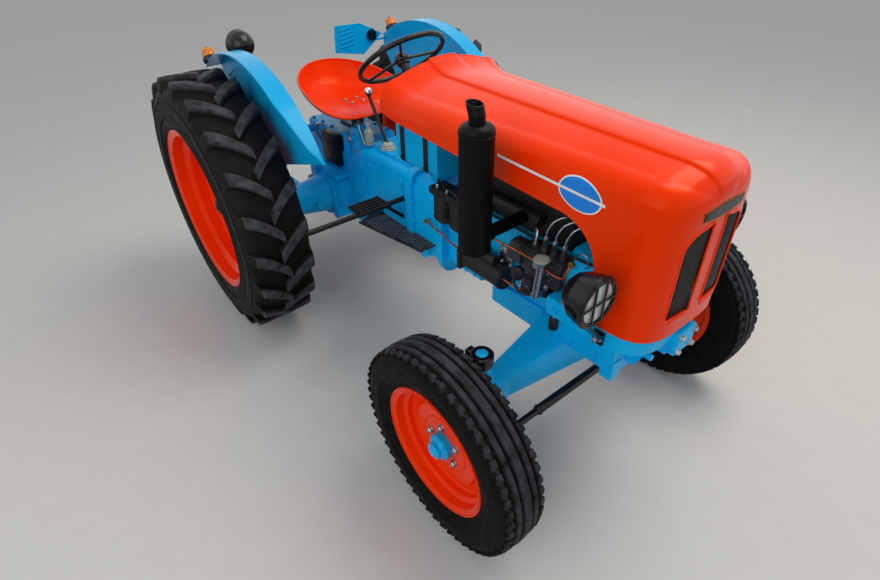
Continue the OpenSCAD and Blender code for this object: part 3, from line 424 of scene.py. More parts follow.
def extrude(part: Part, push: Point) -> None:
    """Extrudes a flat part into a closed one whose faces point outwards.

    Args:
        part: the part's bmesh, all of whose faces are extruded.
        push: how far and which way.
    """
    moved = bmesh.ops.extrude_face_region(part, geom=list(part.faces))["geom"]
    bmesh.ops.translate(part, vec=push, verts=[v for v in moved if isinstance(v, bmesh.types.BMVert)])
    bmesh.ops.recalc_face_normals(part, faces=part.faces)


def into_frame(part: Part, name: str) -> bpy.types.Mesh:
    """Takes a part from millimetres into the frame.

    Args:
        part: the part's bmesh, which is freed.
        name: the new mesh's name.

    Returns:
        The part as a mesh.
    """
    bmesh.ops.translate(part, vec=(AXIS_SHIFT, 0, 0), verts=part.verts)
    bmesh.ops.scale(part, vec=(MM, MM, MM), verts=part.verts)
    mesh = bpy.data.meshes.new(name)
    part.to_mesh(mesh)
    part.free()
    return mesh


def squared(value: float, power: float) -> float:
    """A sine or cosine to a power with its sign kept, which fills out the corners of a round outline."""
    return math.copysign(abs(value) ** power, value)


def circle(count: int, radius: float, start: float = 0.0) -> list[tuple[float, float]]:
    """Points spaced evenly round a circle.

    Args:
        count: how many there are.
        radius: the circle's radius.
        start: how far past the zero angle the first one stands, as a share of a step.

    Returns:
        The points, from the circle's middle.
    """
    angles = [math.tau * (i + start) / count for i in range(count)]
    return [(radius * math.cos(a), radius * math.sin(a)) for a in angles]


def spread(line: Sequence[tuple[float, float]], gap: float) -> list[tuple[float, float]]:
    """Puts more points along a line of straight runs.

    Args:
        line: the line's corners.
        gap: about how far apart the points stand.

    Returns:
        The points, without the last corner.
    """
    points = []
    for (xa, za), (xb, zb) in zip(line, line[1:]):
        count = max(1, int(math.dist((xa, za), (xb, zb)) / gap))
        points += [(xa + (xb - xa) * i / count, za + (zb - za) * i / count) for i in range(count)]
    return points


def facing(centre: Point, axis: Point) -> Matrix:
    """The placing that turns +Z to an axis and moves the origin to a centre."""
    turn = Vector(UP).rotation_difference(Vector(axis).normalized())
    return Matrix.Translation(Vector(centre)) @ turn.to_matrix().to_4x4()


class Piece:
    """A mesh in the making, put together from small bmesh parts."""

    def __init__(self) -> None:
        """Starts an empty mesh."""
        self.mesh = bmesh.new()

    def absorb(self, part: Part, place: Matrix | None = None) -> "Piece":
        """Takes a finished part into the piece and frees it.

        Args:
            part: the part's bmesh.
            place: where it goes, or None to leave it where it is.

        Returns:
            The piece, so that calls can follow each other.
        """
        if place is not None:
            bmesh.ops.transform(part, matrix=place, verts=part.verts)
        scratch = bpy.data.meshes.new("scratch")
        part.to_mesh(scratch)
        part.free()
        self.mesh.from_mesh(scratch)
        bpy.data.meshes.remove(scratch)
        return self

    def block(self, low: Point, high: Point, bevel: float = 1.5, place: Matrix | None = None) -> "Piece":
        """Adds a block with rounded edges.

        Args:
            low: its lowest corner.
            high: its highest corner.
            bevel: the radius of its edges.
            place: a placing for it, or None.

        Returns:
            The piece.
        """
        part = bmesh.new()
        size = Vector(high) - Vector(low)
        bmesh.ops.create_cube(part, size=1.0)
        bmesh.ops.scale(part, vec=size, verts=part.verts)
        bmesh.ops.translate(part, vec=(Vector(high) + Vector(low)) / 2, verts=part.verts)
        bmesh.ops.bevel(part, geom=list(part.edges), offset=bevel, offset_type="OFFSET", segments=2,
                        profile=0.5, affect="EDGES", material=-1)
        return self.absorb(part, place)

    def turned(self, profile: Sequence[Point], centre: Point = (0, 0, 0), axis: Point = UP,
               steps: int = 48) -> "Piece":
        """Adds a turned shape.

        Args:
            profile: points as radius and height, from one end to the other.
            centre: where the profile's origin goes.
            axis: the way its height points.
            steps: faces around it.

        Returns:
            The piece.
        """
        part = bmesh.new()
        verts = [part.verts.new((r, 0.0, h)) for r, h in profile]
        edges = [part.edges.new(pair) for pair in zip(verts, verts[1:])]
        bmesh.ops.spin(part, geom=verts + edges, cent=(0, 0, 0), axis=UP, dvec=(0, 0, 0),
                       angle=math.tau, steps=steps, use_merge=True, use_duplicate=False)
        bmesh.ops.remove_doubles(part, verts=part.verts, dist=0.01)
        bmesh.ops.recalc_face_normals(part, faces=part.faces)
        return self.absorb(part, facing(centre, axis))

    def ring(self, radius: float, thick: float, centre: Point, axis: Point, steps: int = 48,
             sides: int = 10) -> "Piece":
        """Adds a round ring.

        Args:
            radius: from its middle to the middle of its section.
            thick: the section's radius.
            centre: its middle.
            axis: the way it faces.
            steps: faces around it.
            sides: faces around its section.

        Returns:
            The piece.
        """
        loop = [(radius + thick * math.cos(a), thick * math.sin(a))
                for a in (math.tau * i / sides for i in range(sides + 1))]
        return self.turned(loop, centre, axis, steps)

    def bolt(self, centre: Point, axis: Point, across: float = 17.0, head: float = 9.0) -> "Piece":
        """Adds a hexagon head on its washer.

        Args:
            centre: the middle of the washer's seat.
            axis: the way the head points.
            across: its width across flats.
            head: its height.

        Returns:
            The piece.
        """
        part = bmesh.new()
        radius = across / math.sqrt(3)
        # The washer, the hexagon and the hexagon's chamfered top
        for low, high, wide, tip, sides in ((-0.6, 2.2, radius * 1.3, radius * 1.3, 20),
                                            (2.0, head * 0.82, radius, radius, 6),
                                            (head * 0.8, head, radius * 0.97, radius * 0.8, 6)):
            bmesh.ops.create_cone(part, cap_ends=True, cap_tris=False, segments=sides, radius1=wide,
                                  radius2=tip, depth=high - low,
                                  matrix=Matrix.Translation((0, 0, (high + low) / 2)))
        return self.absorb(part, facing(centre, axis))

    def pipe(self, points: Sequence[Point], radius: float, smooth: bool = True,
             closed: bool = False) -> "Piece":
        """Adds a round bar or pipe bent along a path.

        Args:
            points: the path.
            radius: the pipe's radius.
            smooth: whether it bends gently at its points.
            closed: whether it joins up.

        Returns:
            The piece.
        """
        curve = bpy.data.curves.new("scratch", "CURVE")
        curve.dimensions = "3D"
        curve.bevel_depth = radius
        curve.bevel_resolution = 3
        curve.use_fill_caps = True
        curve.resolution_u = 6
        spline = curve.splines.new("BEZIER")
        spline.bezier_points.add(len(points) - 1)
        spline.use_cyclic_u = closed
        for knot, point in zip(spline.bezier_points, points):
            knot.co = Vector(point)
            knot.handle_left_type = knot.handle_right_type = "AUTO" if smooth else "VECTOR"
        holder = bpy.data.objects.new("scratch", curve)
        self.mesh.from_mesh(holder.to_mesh())
        holder.to_mesh_clear()
        bpy.data.objects.remove(holder)
        bpy.data.curves.remove(curve)
        return self

    def finish(self, name: str, body: str, finish: Finish, slot: Slot, side: Side | None = None,
               replaces: Sequence[str] = (), sharp: float = 38.0) -> bpy.types.Object:
        """Makes the piece an object that rides on a body.

        Args:
            name: the piece's name.
            body: the body that it rides on.
            finish: its finish.
            slot: the record's slot for it; not used.
            side: LEFT mirrors a piece that was made on the right.
            replaces: the CAD nodes that it stands for.
            sharp: edges bent by more than this many degrees stay sharp.

        Returns:
            The new object.
        """
        bmesh.ops.remove_doubles(self.mesh, verts=self.mesh.verts, dist=0.005)
        if side is Side.LEFT:
            bmesh.ops.scale(self.mesh, vec=(1, -1, 1), verts=self.mesh.verts)
        bmesh.ops.recalc_face_normals(self.mesh, faces=self.mesh.faces)
        return settle(name, into_frame(self.mesh, name), body, finish, replaces, sharp)


def settle(name: str, mesh: bpy.types.Mesh, body: str, finish: Finish,
           replaces: Sequence[str] = (), sharp: float = 38.0) -> bpy.types.Object:
    """Links a finished mesh, shades it and hands it to its body.

    Args:
        name: the piece's name.
        mesh: its mesh, in metres in the frame.
        body: the body that it rides on.
        finish: its finish.
        replaces: the CAD nodes that it stands for.
        sharp: edges bent by more than this many degrees stay sharp.

    Returns:
        The new object.
    """
    mesh.polygons.foreach_set("use_smooth", [True] * len(mesh.polygons))
    mesh.set_sharp_from_angle(angle=math.radians(sharp))
    mesh.materials.clear()
    mesh.materials.append(finish.material())
    made = bpy.data.objects.new(name, mesh)
    bpy.context.collection.objects.link(made)
    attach(made, body)
    if replaces:
        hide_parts(*replaces)
    LOG.info("%s rides on %s", name, body)
    return made


def dress(nodes: CadNodes, finish: Finish, *names: str) -> None:
    """Gives CAD nodes a finish.

    Args:
        nodes: the frame's nodes by name.
        finish: the finish.
        names: the nodes' names.
    """
    for name in names:
        for slot in nodes[name].material_slots:
            slot.material = finish.material()


# ---------------- bonnet


@dataclass
class Bonnet:
    """The pressed bonnet with its nose, openings, slats, stripes and badge bar."""

    # The plan: back edge, nose, and how square the nose is
    back_x: float = 850.0
    back_y: float = 282.0
    tip_x: float = 1962.0
    nose_y: float = 210.0
    nose_l: float = 190.0
    square: float = 3.8
    taper: float = 1.2
    # The crown: its height at both ends, its fall over the nose and the lip at the back
    back_z: float = 1270.0
    nose_top: float = 1248.0
    nose_z: float = 758.0
    crown_l: float = 100.0
    crown_h: float = 92.0
    crown_round: float = 2.5
    lip_l: float = 110.0
    lip_h: float = 34.0
    # The section: round corner and camber, each less towards the nose, and the raised middle strip
    corner_r: float = 80.0
    corner_less: float = 18.0
    camber: float = 34.0
    camber_less: float = 9.0
    strip_y: float = 60.0
    strip_h: float = 7.0
    strip_step: float = 8.0
    sheet: float = 3.0
    hem_z: float = 1166.0
    # One grille opening
    open_in: float = 29.0
    open_out: float = 133.0
    open_low: float = 826.0
    open_top: float = 1104.0
    open_r: float = 56.0
    slats: int = 11
    # The painted oval and stripe, half sizes, and where the lines that lay them on the sheet start
    oval_x: float = 1684.0
    oval_z: float = 1134.0
    oval_lean: float = 0.09
    stripe_x: float = 1580.5
    stripe_l: float = 181.5
    stripe_z: float = 1163.0
    stripe_w: float = 3.8
    stripe_fall: float = 0.0964
    badge_z: float = 1134.0
    aside: float = 500.0
    ahead: float = 2100.0
    body: str = "bonnet_body"

    @property
    def nose_start(self) -> float:
        """Where the nose starts to curve in."""
        return self.tip_x - self.nose_l

    def half(self, x: float) -> float:
        """Half the bonnet's width, which narrows to the nose and then rounds in.

        Args:
            x: the place along X.

        Returns:
            Half the width there.
        """
        if x < self.nose_start:
            along = max(0.0, (x - self.back_x) / (self.nose_start - self.back_x))
            return self.back_y + (self.nose_y - self.back_y) * along ** self.taper
        left = max(0.0, 1 - ((x - self.nose_start) / self.nose_l) ** self.square)
        return self.nose_y * left ** (1 / self.square)

    def front(self, y: float) -> float:
        """Where the nose's face stands along X, at a distance from the middle."""
        share = max(0.0, 1 - (abs(y) / self.nose_y) ** self.square) ** (1 / self.square)
        return self.nose_start + self.nose_l * share

    def crown(self, x: float) -> float:
        """Height of the middle of the bonnet, which lifts to a lip at the back and rolls off at the nose.

        Args:
            x: the place along X.

        Returns:
            The height there.
        """
        along = (x - self.back_x) / (self.tip_x - self.back_x)
        top = self.back_z + (self.nose_top - self.back_z) * along
        if x < self.back_x + self.lip_l:
            top += self.lip_h * (1 - (x - self.back_x) / self.lip_l) ** 2
        fall = (x - self.tip_x + self.crown_l) / self.crown_l
        if fall > 0:
            top -= self.crown_h * (1 - max(0.0, 1 - fall ** self.crown_round) ** (1 / self.crown_round))
        return top

    def skin(self, x: float, t: float) -> tuple[float, float]:
        """A point of a section, from its lower edge at t = 0 to the middle at t = 1.

        The side sheet reaches to t = 0.3, the round corner to 0.55, the cambered top to 0.8 and the step
        up to the middle strip to 0.9.

        Args:
            x: the section's place along X.
            t: how far up and over the section the point lies.

        Returns:
            Its distance from the middle and its height.
        """
        half = self.half(x)
        top = self.crown(x)
        along = (x - self.back_x) / (self.tip_x - self.back_x)
        corner = min(self.corner_r - self.corner_less * along, half * 0.5)
        drop = (self.camber - self.camber_less * along) * min(1.0, half / self.nose_y)
        flat = max(half - corner, 1e-3)
        strip = min(self.strip_y, half * 0.3)
        step = min(self.strip_step, half * 0.1)
        shoulder = top - drop - self.strip_h - corner
        if t < 0.3:
            return half, self.nose_z + (shoulder - self.nose_z) * t / 0.3
        if t < 0.55:
            angle = (t - 0.3) / 0.25 * math.pi / 2
            return flat + corner * math.cos(angle), shoulder + corner * math.sin(angle)
        if t < 0.8:
            y = flat + (strip + step - flat) * (t - 0.55) / 0.25
            return y, top - self.strip_h - drop * (y / flat) ** 2
        if t < 0.9:
            rise = (t - 0.8) / 0.1
            y = strip + step - step * rise
            lift = self.strip_h * rise * rise * (3 - 2 * rise)
            return y, top - self.strip_h + lift - drop * (y / flat) ** 2
        y = strip * (1 - t) / 0.1
        return y, top - drop * (y / flat) ** 2

    def station(self, u: float) -> float:
        """The place along X of a share of the bonnet's grid, half of which lies in the nose.

        Args:
            u: the share, from 0 at the back to 1 at the tip.

        Returns:
            The place along X.
        """
        if u < 0.5:
            return self.back_x + (self.nose_start - self.back_x) * u / 0.5
        return self.nose_start + self.nose_l * math.sin((u - 0.5) / 0.5 * math.pi / 2) ** (2 / self.square)

    def cutter(self, outline: Sequence[tuple[float, float]], place: Callable[[float, float, float], Point],
               low: float, high: float) -> bpy.types.Object:
        """A prism that cuts the shell.

        Args:
            outline: its outline in its own plane.
            place: turns an outline point and a depth into a point.
            low: the depth of its near end.
            high: the depth of its far end.

        Returns:
            The prism as an object.
        """
        part = bmesh.new()
        part.faces.new([part.verts.new(place(a, b, low)) for a, b in outline])
        extrude(part, Vector(place(0, 0, high)) - Vector(place(0, 0, low)))
        made = bpy.data.objects.new("cutter", into_frame(part, "cutter"))
        bpy.context.collection.objects.link(made)
        return made

    def side_line(self) -> list[tuple[float, float]]:
        """The lower edge of the side sheet, from the back forward and round down into the nose.

        Returns:
            Its points in X and Z.
        """
        middle, height, radius = self.nose_start - 160, 920.0, 150.0
        arc = [(middle + radius * math.cos(a), height + radius * math.sin(a))
               for a in (math.radians(88 - 88 * i / 16) for i in range(17))]
        return [(self.back_x, self.hem_z), (910.0, 1150.0), (1420.0, 1092.0), *arc,
                (middle + radius, self.nose_z)]

    def opening(self, side: int) -> list[tuple[float, float]]:
        """The outline of one grille opening, with its upper outer corner rounded.

        Args:
            side: -1 for the right opening and 1 for the left one.

        Returns:
            Its points in Y and Z.
        """
        r = self.open_r
        corner = [(self.open_out - r + r * math.cos(a), self.open_top - 8 - r + r * math.sin(a))
                  for a in (math.radians(90 * i / 8) for i in range(9))]
        outline = [(self.open_in, self.open_low), (self.open_out - 8, self.open_low),
                   (self.open_out - 2, self.open_low + 6), *corner, (self.open_in, self.open_top)]
        return [(side * y, z) for y, z in outline]

    def build_shell(self) -> None:
        """Makes the sheet, cuts its lower edge and openings, and keeps a tree for the stripes."""
        part = bmesh.new()
        bmesh.ops.create_grid(part, x_segments=96, y_segments=80, size=0.5)
        for vert in part.verts:
            x = self.station(vert.co.x + 0.5)
            across = vert.co.y + 0.5
            y, z = self.skin(x, 1 - abs(across - 0.5) * 2)
            vert.co = ((x + AXIS_SHIFT) * MM, math.copysign(y, across - 0.5) * MM, z * MM)
        bmesh.ops.remove_doubles(part, verts=part.verts, dist=1e-5)
        bmesh.ops.recalc_face_normals(part, faces=part.faces)
        if sum(face.normal.z * face.calc_area() for face in part.faces) < 0:
            bmesh.ops.reverse_faces(part, faces=part.faces)
        self.tree = BVHTree.FromBMesh(part)
        mesh = bpy.data.meshes.new("shell")
        part.to_mesh(mesh)
        part.free()
        shell = bpy.data.objects.new("shell", mesh)
        bpy.context.collection.objects.link(shell)
        thick = shell.modifiers.new("sheet", "SOLIDIFY")
        thick.thickness = self.sheet * MM
        thick.offset = -1.0
        below = [(self.back_x - 60, self.hem_z), *self.side_line(),
                 (self.nose_start - 10, self.nose_z - 60), (self.back_x - 60, self.nose_z - 60)]
        cutters = [self.cutter(below, lambda a, b, d: (a, d, b), -400, 400)]
        cutters += [self.cutter(self.opening(side.value), lambda a, b, d: (d, a, b), self.nose_start,
                                self.tip_x + 60) for side in Side]
        for tool in cutters:
            cut = shell.modifiers.new("cut", "BOOLEAN")
            cut.operation = "DIFFERENCE"
            cut.solver = "EXACT"
            cut.object = tool
        graph = bpy.context.evaluated_depsgraph_get()
        made = bpy.data.meshes.new_from_object(shell.evaluated_get(graph))
        for tool in cutters + [shell]:
            bpy.data.objects.remove(tool)
        made.name = "bonnet_shell"
        settle("bonnet_shell", made, self.body, ENAMEL_ORANGE, ["bonnet"], sharp=30.0)

    def land(self, start: Point, way: Point, lift: float) -> Vector:
        """Where a straight line meets the sheet, lifted a little off it.

        Args:
            start: the line's start.
            way: its direction.
            lift: how far off the sheet the point stands.

        Returns:
            The point, in millimetres from the rear axis.
        """
        # A hair off the grid's own lines, where a line could slip between two faces
        off_y, off_z = 0.013, 0.017
        begin = Vector(((start[0] + AXIS_SHIFT) * MM, (start[1] + off_y) * MM, (start[2] + off_z) * MM))
        spot, normal, _, _ = self.tree.ray_cast(begin, Vector(way).normalized())
        if spot is None:
            raise ValueError(f"nothing to land on from {tuple(start)}")
        if normal.dot(Vector(way)) > 0:
            normal = -normal
        spot = spot / MM + normal * lift
        return Vector((spot.x - AXIS_SHIFT, spot.y, spot.z))

    def patch(self, place: Callable[[float, float], Point], way: Point, lift: float,
              steps: tuple[int, int], thick: float = 0.5) -> Piece:
        """A thin painted shape that lies on the sheet.

        Args:
            place: turns a point of a square from -1 to 1 into the start of a line to the sheet.
            way: the way those lines run.
            lift: how far off the sheet the shape stands.
            steps: faces across the square each way.
            thick: the shape's thickness.

        Returns:
            The shape.
        """
        part = bmesh.new()
        bmesh.ops.create_grid(part, x_segments=steps[0], y_segments=steps[1], size=1.0)
        for vert in part.verts:
            vert.co = self.land(place(vert.co.x, vert.co.y), way, lift)
        bmesh.ops.recalc_face_normals(part, faces=part.faces)
        bmesh.ops.solidify(part, geom=list(part.faces), thickness=thick)
        return Piece().absorb(part)

    def build_paint(self, side: Side) -> None:
        """Lays the white stripe and the bare oval on one side.

        Args:
            side: the side to paint.
        """
        way = (0.0, -float(side.value), 0.0)

        def disc(wide: float, tall: float) -> Callable[[float, float], Point]:
            """Makes the placing of an oval on the side sheet.

            Args:
                wide: half its width.
                tall: half its height.

            Returns:
                The placing, from a point of the square to one beside the bonnet.
            """
            def place(u: float, v: float) -> Point:
                """The oval's point for a point of the square."""
                return (self.oval_x + wide * u * math.sqrt(1 - v * v / 2), side.value * self.aside,
                        self.oval_z - (u * wide) * self.oval_lean + tall * v * math.sqrt(1 - u * u / 2))
            return place

        def band(u: float, v: float) -> Point:
            """The placing of the stripe, which falls a little towards the nose.

            Args:
                u: along the stripe, from -1 to 1.
                v: across it, from -1 to 1.

            Returns:
                The point beside the bonnet.
            """
            x = self.stripe_x + self.stripe_l * u
            fall = (x - (self.stripe_x - self.stripe_l)) * self.stripe_fall
            return (x, side.value * self.aside, self.stripe_z - fall + self.stripe_w * v)

        for name, place, lift, steps, finish in (
                ("oval_border", disc(68, 47), 0.5, (28, 28), WHITE_PAINT),
                ("oval_field", disc(63.5, 43), 0.9, (28, 28), OVAL_BLUE),
                ("side_stripe", band, 1.3, (60, 2), WHITE_PAINT)):
            self.patch(place, way, lift, steps).finish(f"{name}_{side.word}", self.body, finish, Slot.ORANGE)

    def build_badge(self) -> None:
        """Puts the plain dark bar with its thin bright border on the nose."""
        def bar(wide: float, tall: float) -> Callable[[float, float], Point]:
            """Makes the placing of a bar that narrows a little towards its ends.

            Args:
                wide: half its width.
                tall: half its height in the middle.

            Returns:
                The placing, from a point of the square to one ahead of the nose.
            """
            def place(u: float, v: float) -> Point:
                """The bar's point for a point of the square."""
                return (self.ahead, wide * u, self.badge_z + (tall - 6.5 * abs(u) ** 1.6) * v)
            return place

        for name, wide, tall, lift, thick, finish, slot in (
                ("badge_border", 93.0, 19.5, 2.2, 2.0, BRASS, Slot.STEEL),
                ("badge_bar", 90.5, 17.3, 3.4, 1.4, BADGE_BLACK, Slot.BLACK)):
            self.patch(bar(wide, tall), BACK, lift, (44, 6), thick).finish(
                name, self.body, finish, slot)

    def build_rims(self) -> None:
        """Rolls the edges of the sheet: lower edge, rear lip and the two openings."""
        edge = Piece()
        for s in (-1, 1):
            line = self.side_line()
            hem = spread(line, 60) + [line[-1]]
            edge.pipe([(x, s * (self.half(x) - self.sheet / 2), z) for x, z in hem], 2.6)
            outline = self.opening(s)
            loop = spread(outline + outline[:1], 24)
            edge.pipe([self.land((self.ahead, y, z), BACK, 0.2) for y, z in loop], 3.0, closed=True)
            edge.pipe([self.land((self.ahead, s * y, self.open_low - 9), BACK, -5.0)
                       for y in (self.open_in + 8, 55, 75, 95, self.open_out - 20)], 9.0)
        back = [(self.half(self.back_x), self.hem_z + 1)]
        back += [self.skin(self.back_x, i / 40) for i in range(12, 41)]
        rear = [(self.back_x, -y, z) for y, z in back] + [(self.back_x, y, z) for y, z in back[-2::-1]]
        edge.pipe([(x, y * 0.995, z - 1.5) for x, y, z in rear], 3.0)
        edge.finish("bonnet_rims", self.body, ENAMEL_ORANGE, Slot.ORANGE, sharp=60)

    def build_grille(self) -> None:
        """Fills the openings with upright slats on two curved rails."""
        piece = Piece()
        for s in (-1, 1):
            for i in range(self.slats):
                y = self.open_in + 1 + (self.open_out - self.open_in - 2) * (i + 0.5) / self.slats
                front = self.front(y) - 4.5
                lean = 0.35 * (y / self.nose_y) ** 1.8
                place = Matrix.Translation((front - 4, s * y, 0)) @ Matrix.Rotation(-s * lean, 4, "Z")
                piece.block((-6, -1.6, self.open_low - 6), (3.4, 1.6, self.open_top + 5), 1.0, place)
            for z in (self.open_low - 8, self.open_top + 1):
                points = [(self.front(y) - 9, s * y, z + 3)
                          for y in (self.open_in - 4, 60, 90, 115, self.open_out + 3)]
                piece.pipe(points, 4.0)
        piece.finish("grille_slats", self.body, SLAT_BLACK, Slot.BLACK, replaces=["grille"])

    def build(self, nodes: CadNodes) -> None:
        """Builds the whole bonnet.

        Args:
            nodes: the frame's nodes by name.
        """
        self.build_shell()
        for side in Side:
            self.build_paint(side)
        self.build_badge()
        self.build_rims()
        self.build_grille()
        dress(nodes, SATIN_BLACK, "bonnet_hinge")


# ---------------- wheels


@dataclass
class RearWheels:
    """Tyres, nuts, hub caps, rim steps and valves of the rear wheels."""

    height: float = 594.0
    middle: float = 633.0
    disc: float = 24.0
    tyre_r: float = 594.0
    casing_r: float = 564.0
    half_w: float = 141.5
    lugs: int = 21
    lug_run: float = 112.0
    bead_r: float = 378.4
    bead_y: float = 132.7
    nut_r: float = 72.0

    def build(self, nodes: CadNodes) -> None:
        """Builds both rear wheels' tyres and trim and finishes their nodes.

        Args:
            nodes: the frame's nodes by name.
        """
        for side in Side:
            body = f"rear_wheel_{side.word}"
            face = -(self.middle + self.disc)
            bolts = Piece()
            for x, z in circle(8, self.nut_r, 0.5):
                bolts.bolt((x, face, self.height + z), RIGHT, 21, 13)
            bolts.finish(f"rear_nuts_{side.word}", body, ZINC_STEEL, Slot.STEEL, side)
            cap = Piece()
            cap.turned([(0, 14), (10, 14), (14, 11), (15, 0)], (0, face - 35, self.height), RIGHT, 32)
            cap.turned([(0, 3), (33, 3), (35.5, 0)], (0, face - 37, self.height), RIGHT)
            for x, z in circle(6, 25):
                cap.bolt((x, face - 37.5, self.height + z), RIGHT, 9, 6)
            cap.finish(f"rear_hub_cap_{side.word}", body, SATIN_BLACK, Slot.BLACK, side)
            steps = Piece()
            for radius, y in ((372, 131.5), (346, 79)):
                steps.ring(radius, 2.6, (0, -self.middle - y, self.height), LEFT, 96)
            steps.finish(f"rear_rim_steps_{side.word}", body, ENAMEL_ORANGE, Slot.ORANGE, side, sharp=60)
            valve = Piece()
            valve.turned([(0, 34), (3, 34), (3.4, 26), (4.5, 26), (4.5, 0)],
                         (300, -self.middle - 2, self.height + 118), (-0.5, -0.8, -0.2), 16)
            valve.finish(f"rear_valve_{side.word}", body, PLAIN_RUBBER, Slot.RUBBER, side)
            wall = Piece()
            for radius, y, thick in ((392, 134, 3.5), (436, 140.2, 2.2), (500, 141.2, 1.6)):
                for way in (-1, 1):
                    wall.ring(radius, thick, (0, -self.middle + way * y, self.height), LEFT, 96, 6)
            wall.finish(f"rear_sidewall_rings_{side.word}", body, REAR_RUBBER, Slot.RUBBER, side, sharp=60)
            self.build_tyre(body, side)
            dress(nodes, ENAMEL_ORANGE, f"rear_rim_{side.word}")
            dress(nodes, SATIN_BLACK, f"rear_hub_{side.word}")

    def build_tyre(self, body: str, side: Side) -> None:
        """Builds a tyre: a rounded casing under two staggered rows of curved lugs.

        Args:
            body: the wheel's body.
            side: the machine's side.
        """
        c, w, r = self.casing_r, self.half_w, self.bead_r
        wall = [(c, 0), (c - 1, 36), (c - 5, w - 62), (c - 11, w - 36), (c - 24, w - 14), (c - 46, w - 2.5),
                (c - 80, w - 0.5), (r + 70, w), (r + 44, w - 5), (r + 18, self.bead_y + 14), (r, self.bead_y)]
        tyre = Piece()
        tyre.turned([(a, b) for a, b in reversed(wall)] + [(a, -b) for a, b in wall[1:]] + [wall[-1]],
                    (0, -self.middle, self.height), LEFT, 160)
        for row in (-1, 1):
            for i in range(self.lugs):
                tyre.absorb(self.lug(row, math.tau * (i + (row + 1) / 4) / self.lugs))
        tyre.finish(f"rear_tyre_tread_{side.word}", body, REAR_RUBBER, Slot.RUBBER, side,
                    replaces=[f"rear_tyre_{side.word}"])

    def lug(self, row: int, start: float) -> Part:
        """One lug, bent round the casing with its inner end leading.

        Args:
            row: -1 for the outer row and 1 for the inner one.
            start: the angle of its shoulder end.

        Returns:
            The lug.
        """
        part = bmesh.new()
        bmesh.ops.create_cube(part, size=2.0)
        bmesh.ops.subdivide_edges(part, edges=part.edges, cuts=5, use_grid_fill=True)
        for vert in part.verts:
            along, across, up = (vert.co.x + 1) / 2, vert.co.y, (vert.co.z + 1) / 2
            # Over the shoulder the lug follows the casing down
            y = (self.half_w - 3 - 20 * up) * (1 - along) - 15 * along
            edge = max(0.0, abs(y) - (self.half_w - 34)) / 33
            low = self.casing_r - 16 - 34 * edge ** 1.5
            high = self.tyre_r - 0.5 - 13 * edge ** 2
            radius = low + (high - low) * up
            run = self.lug_run * (0.55 * along + 0.45 * along * along)
            wide = (33 - 8 * up) * (1 - 0.1 * along)
            angle = start - (run - wide * across) / self.tyre_r
            vert.co = (radius * math.cos(angle), -self.middle + row * y,
                       self.height + radius * math.sin(angle))
        bmesh.ops.recalc_face_normals(part, faces=part.faces)
        soften(part, 2.5, 2, 0.7)
        return part


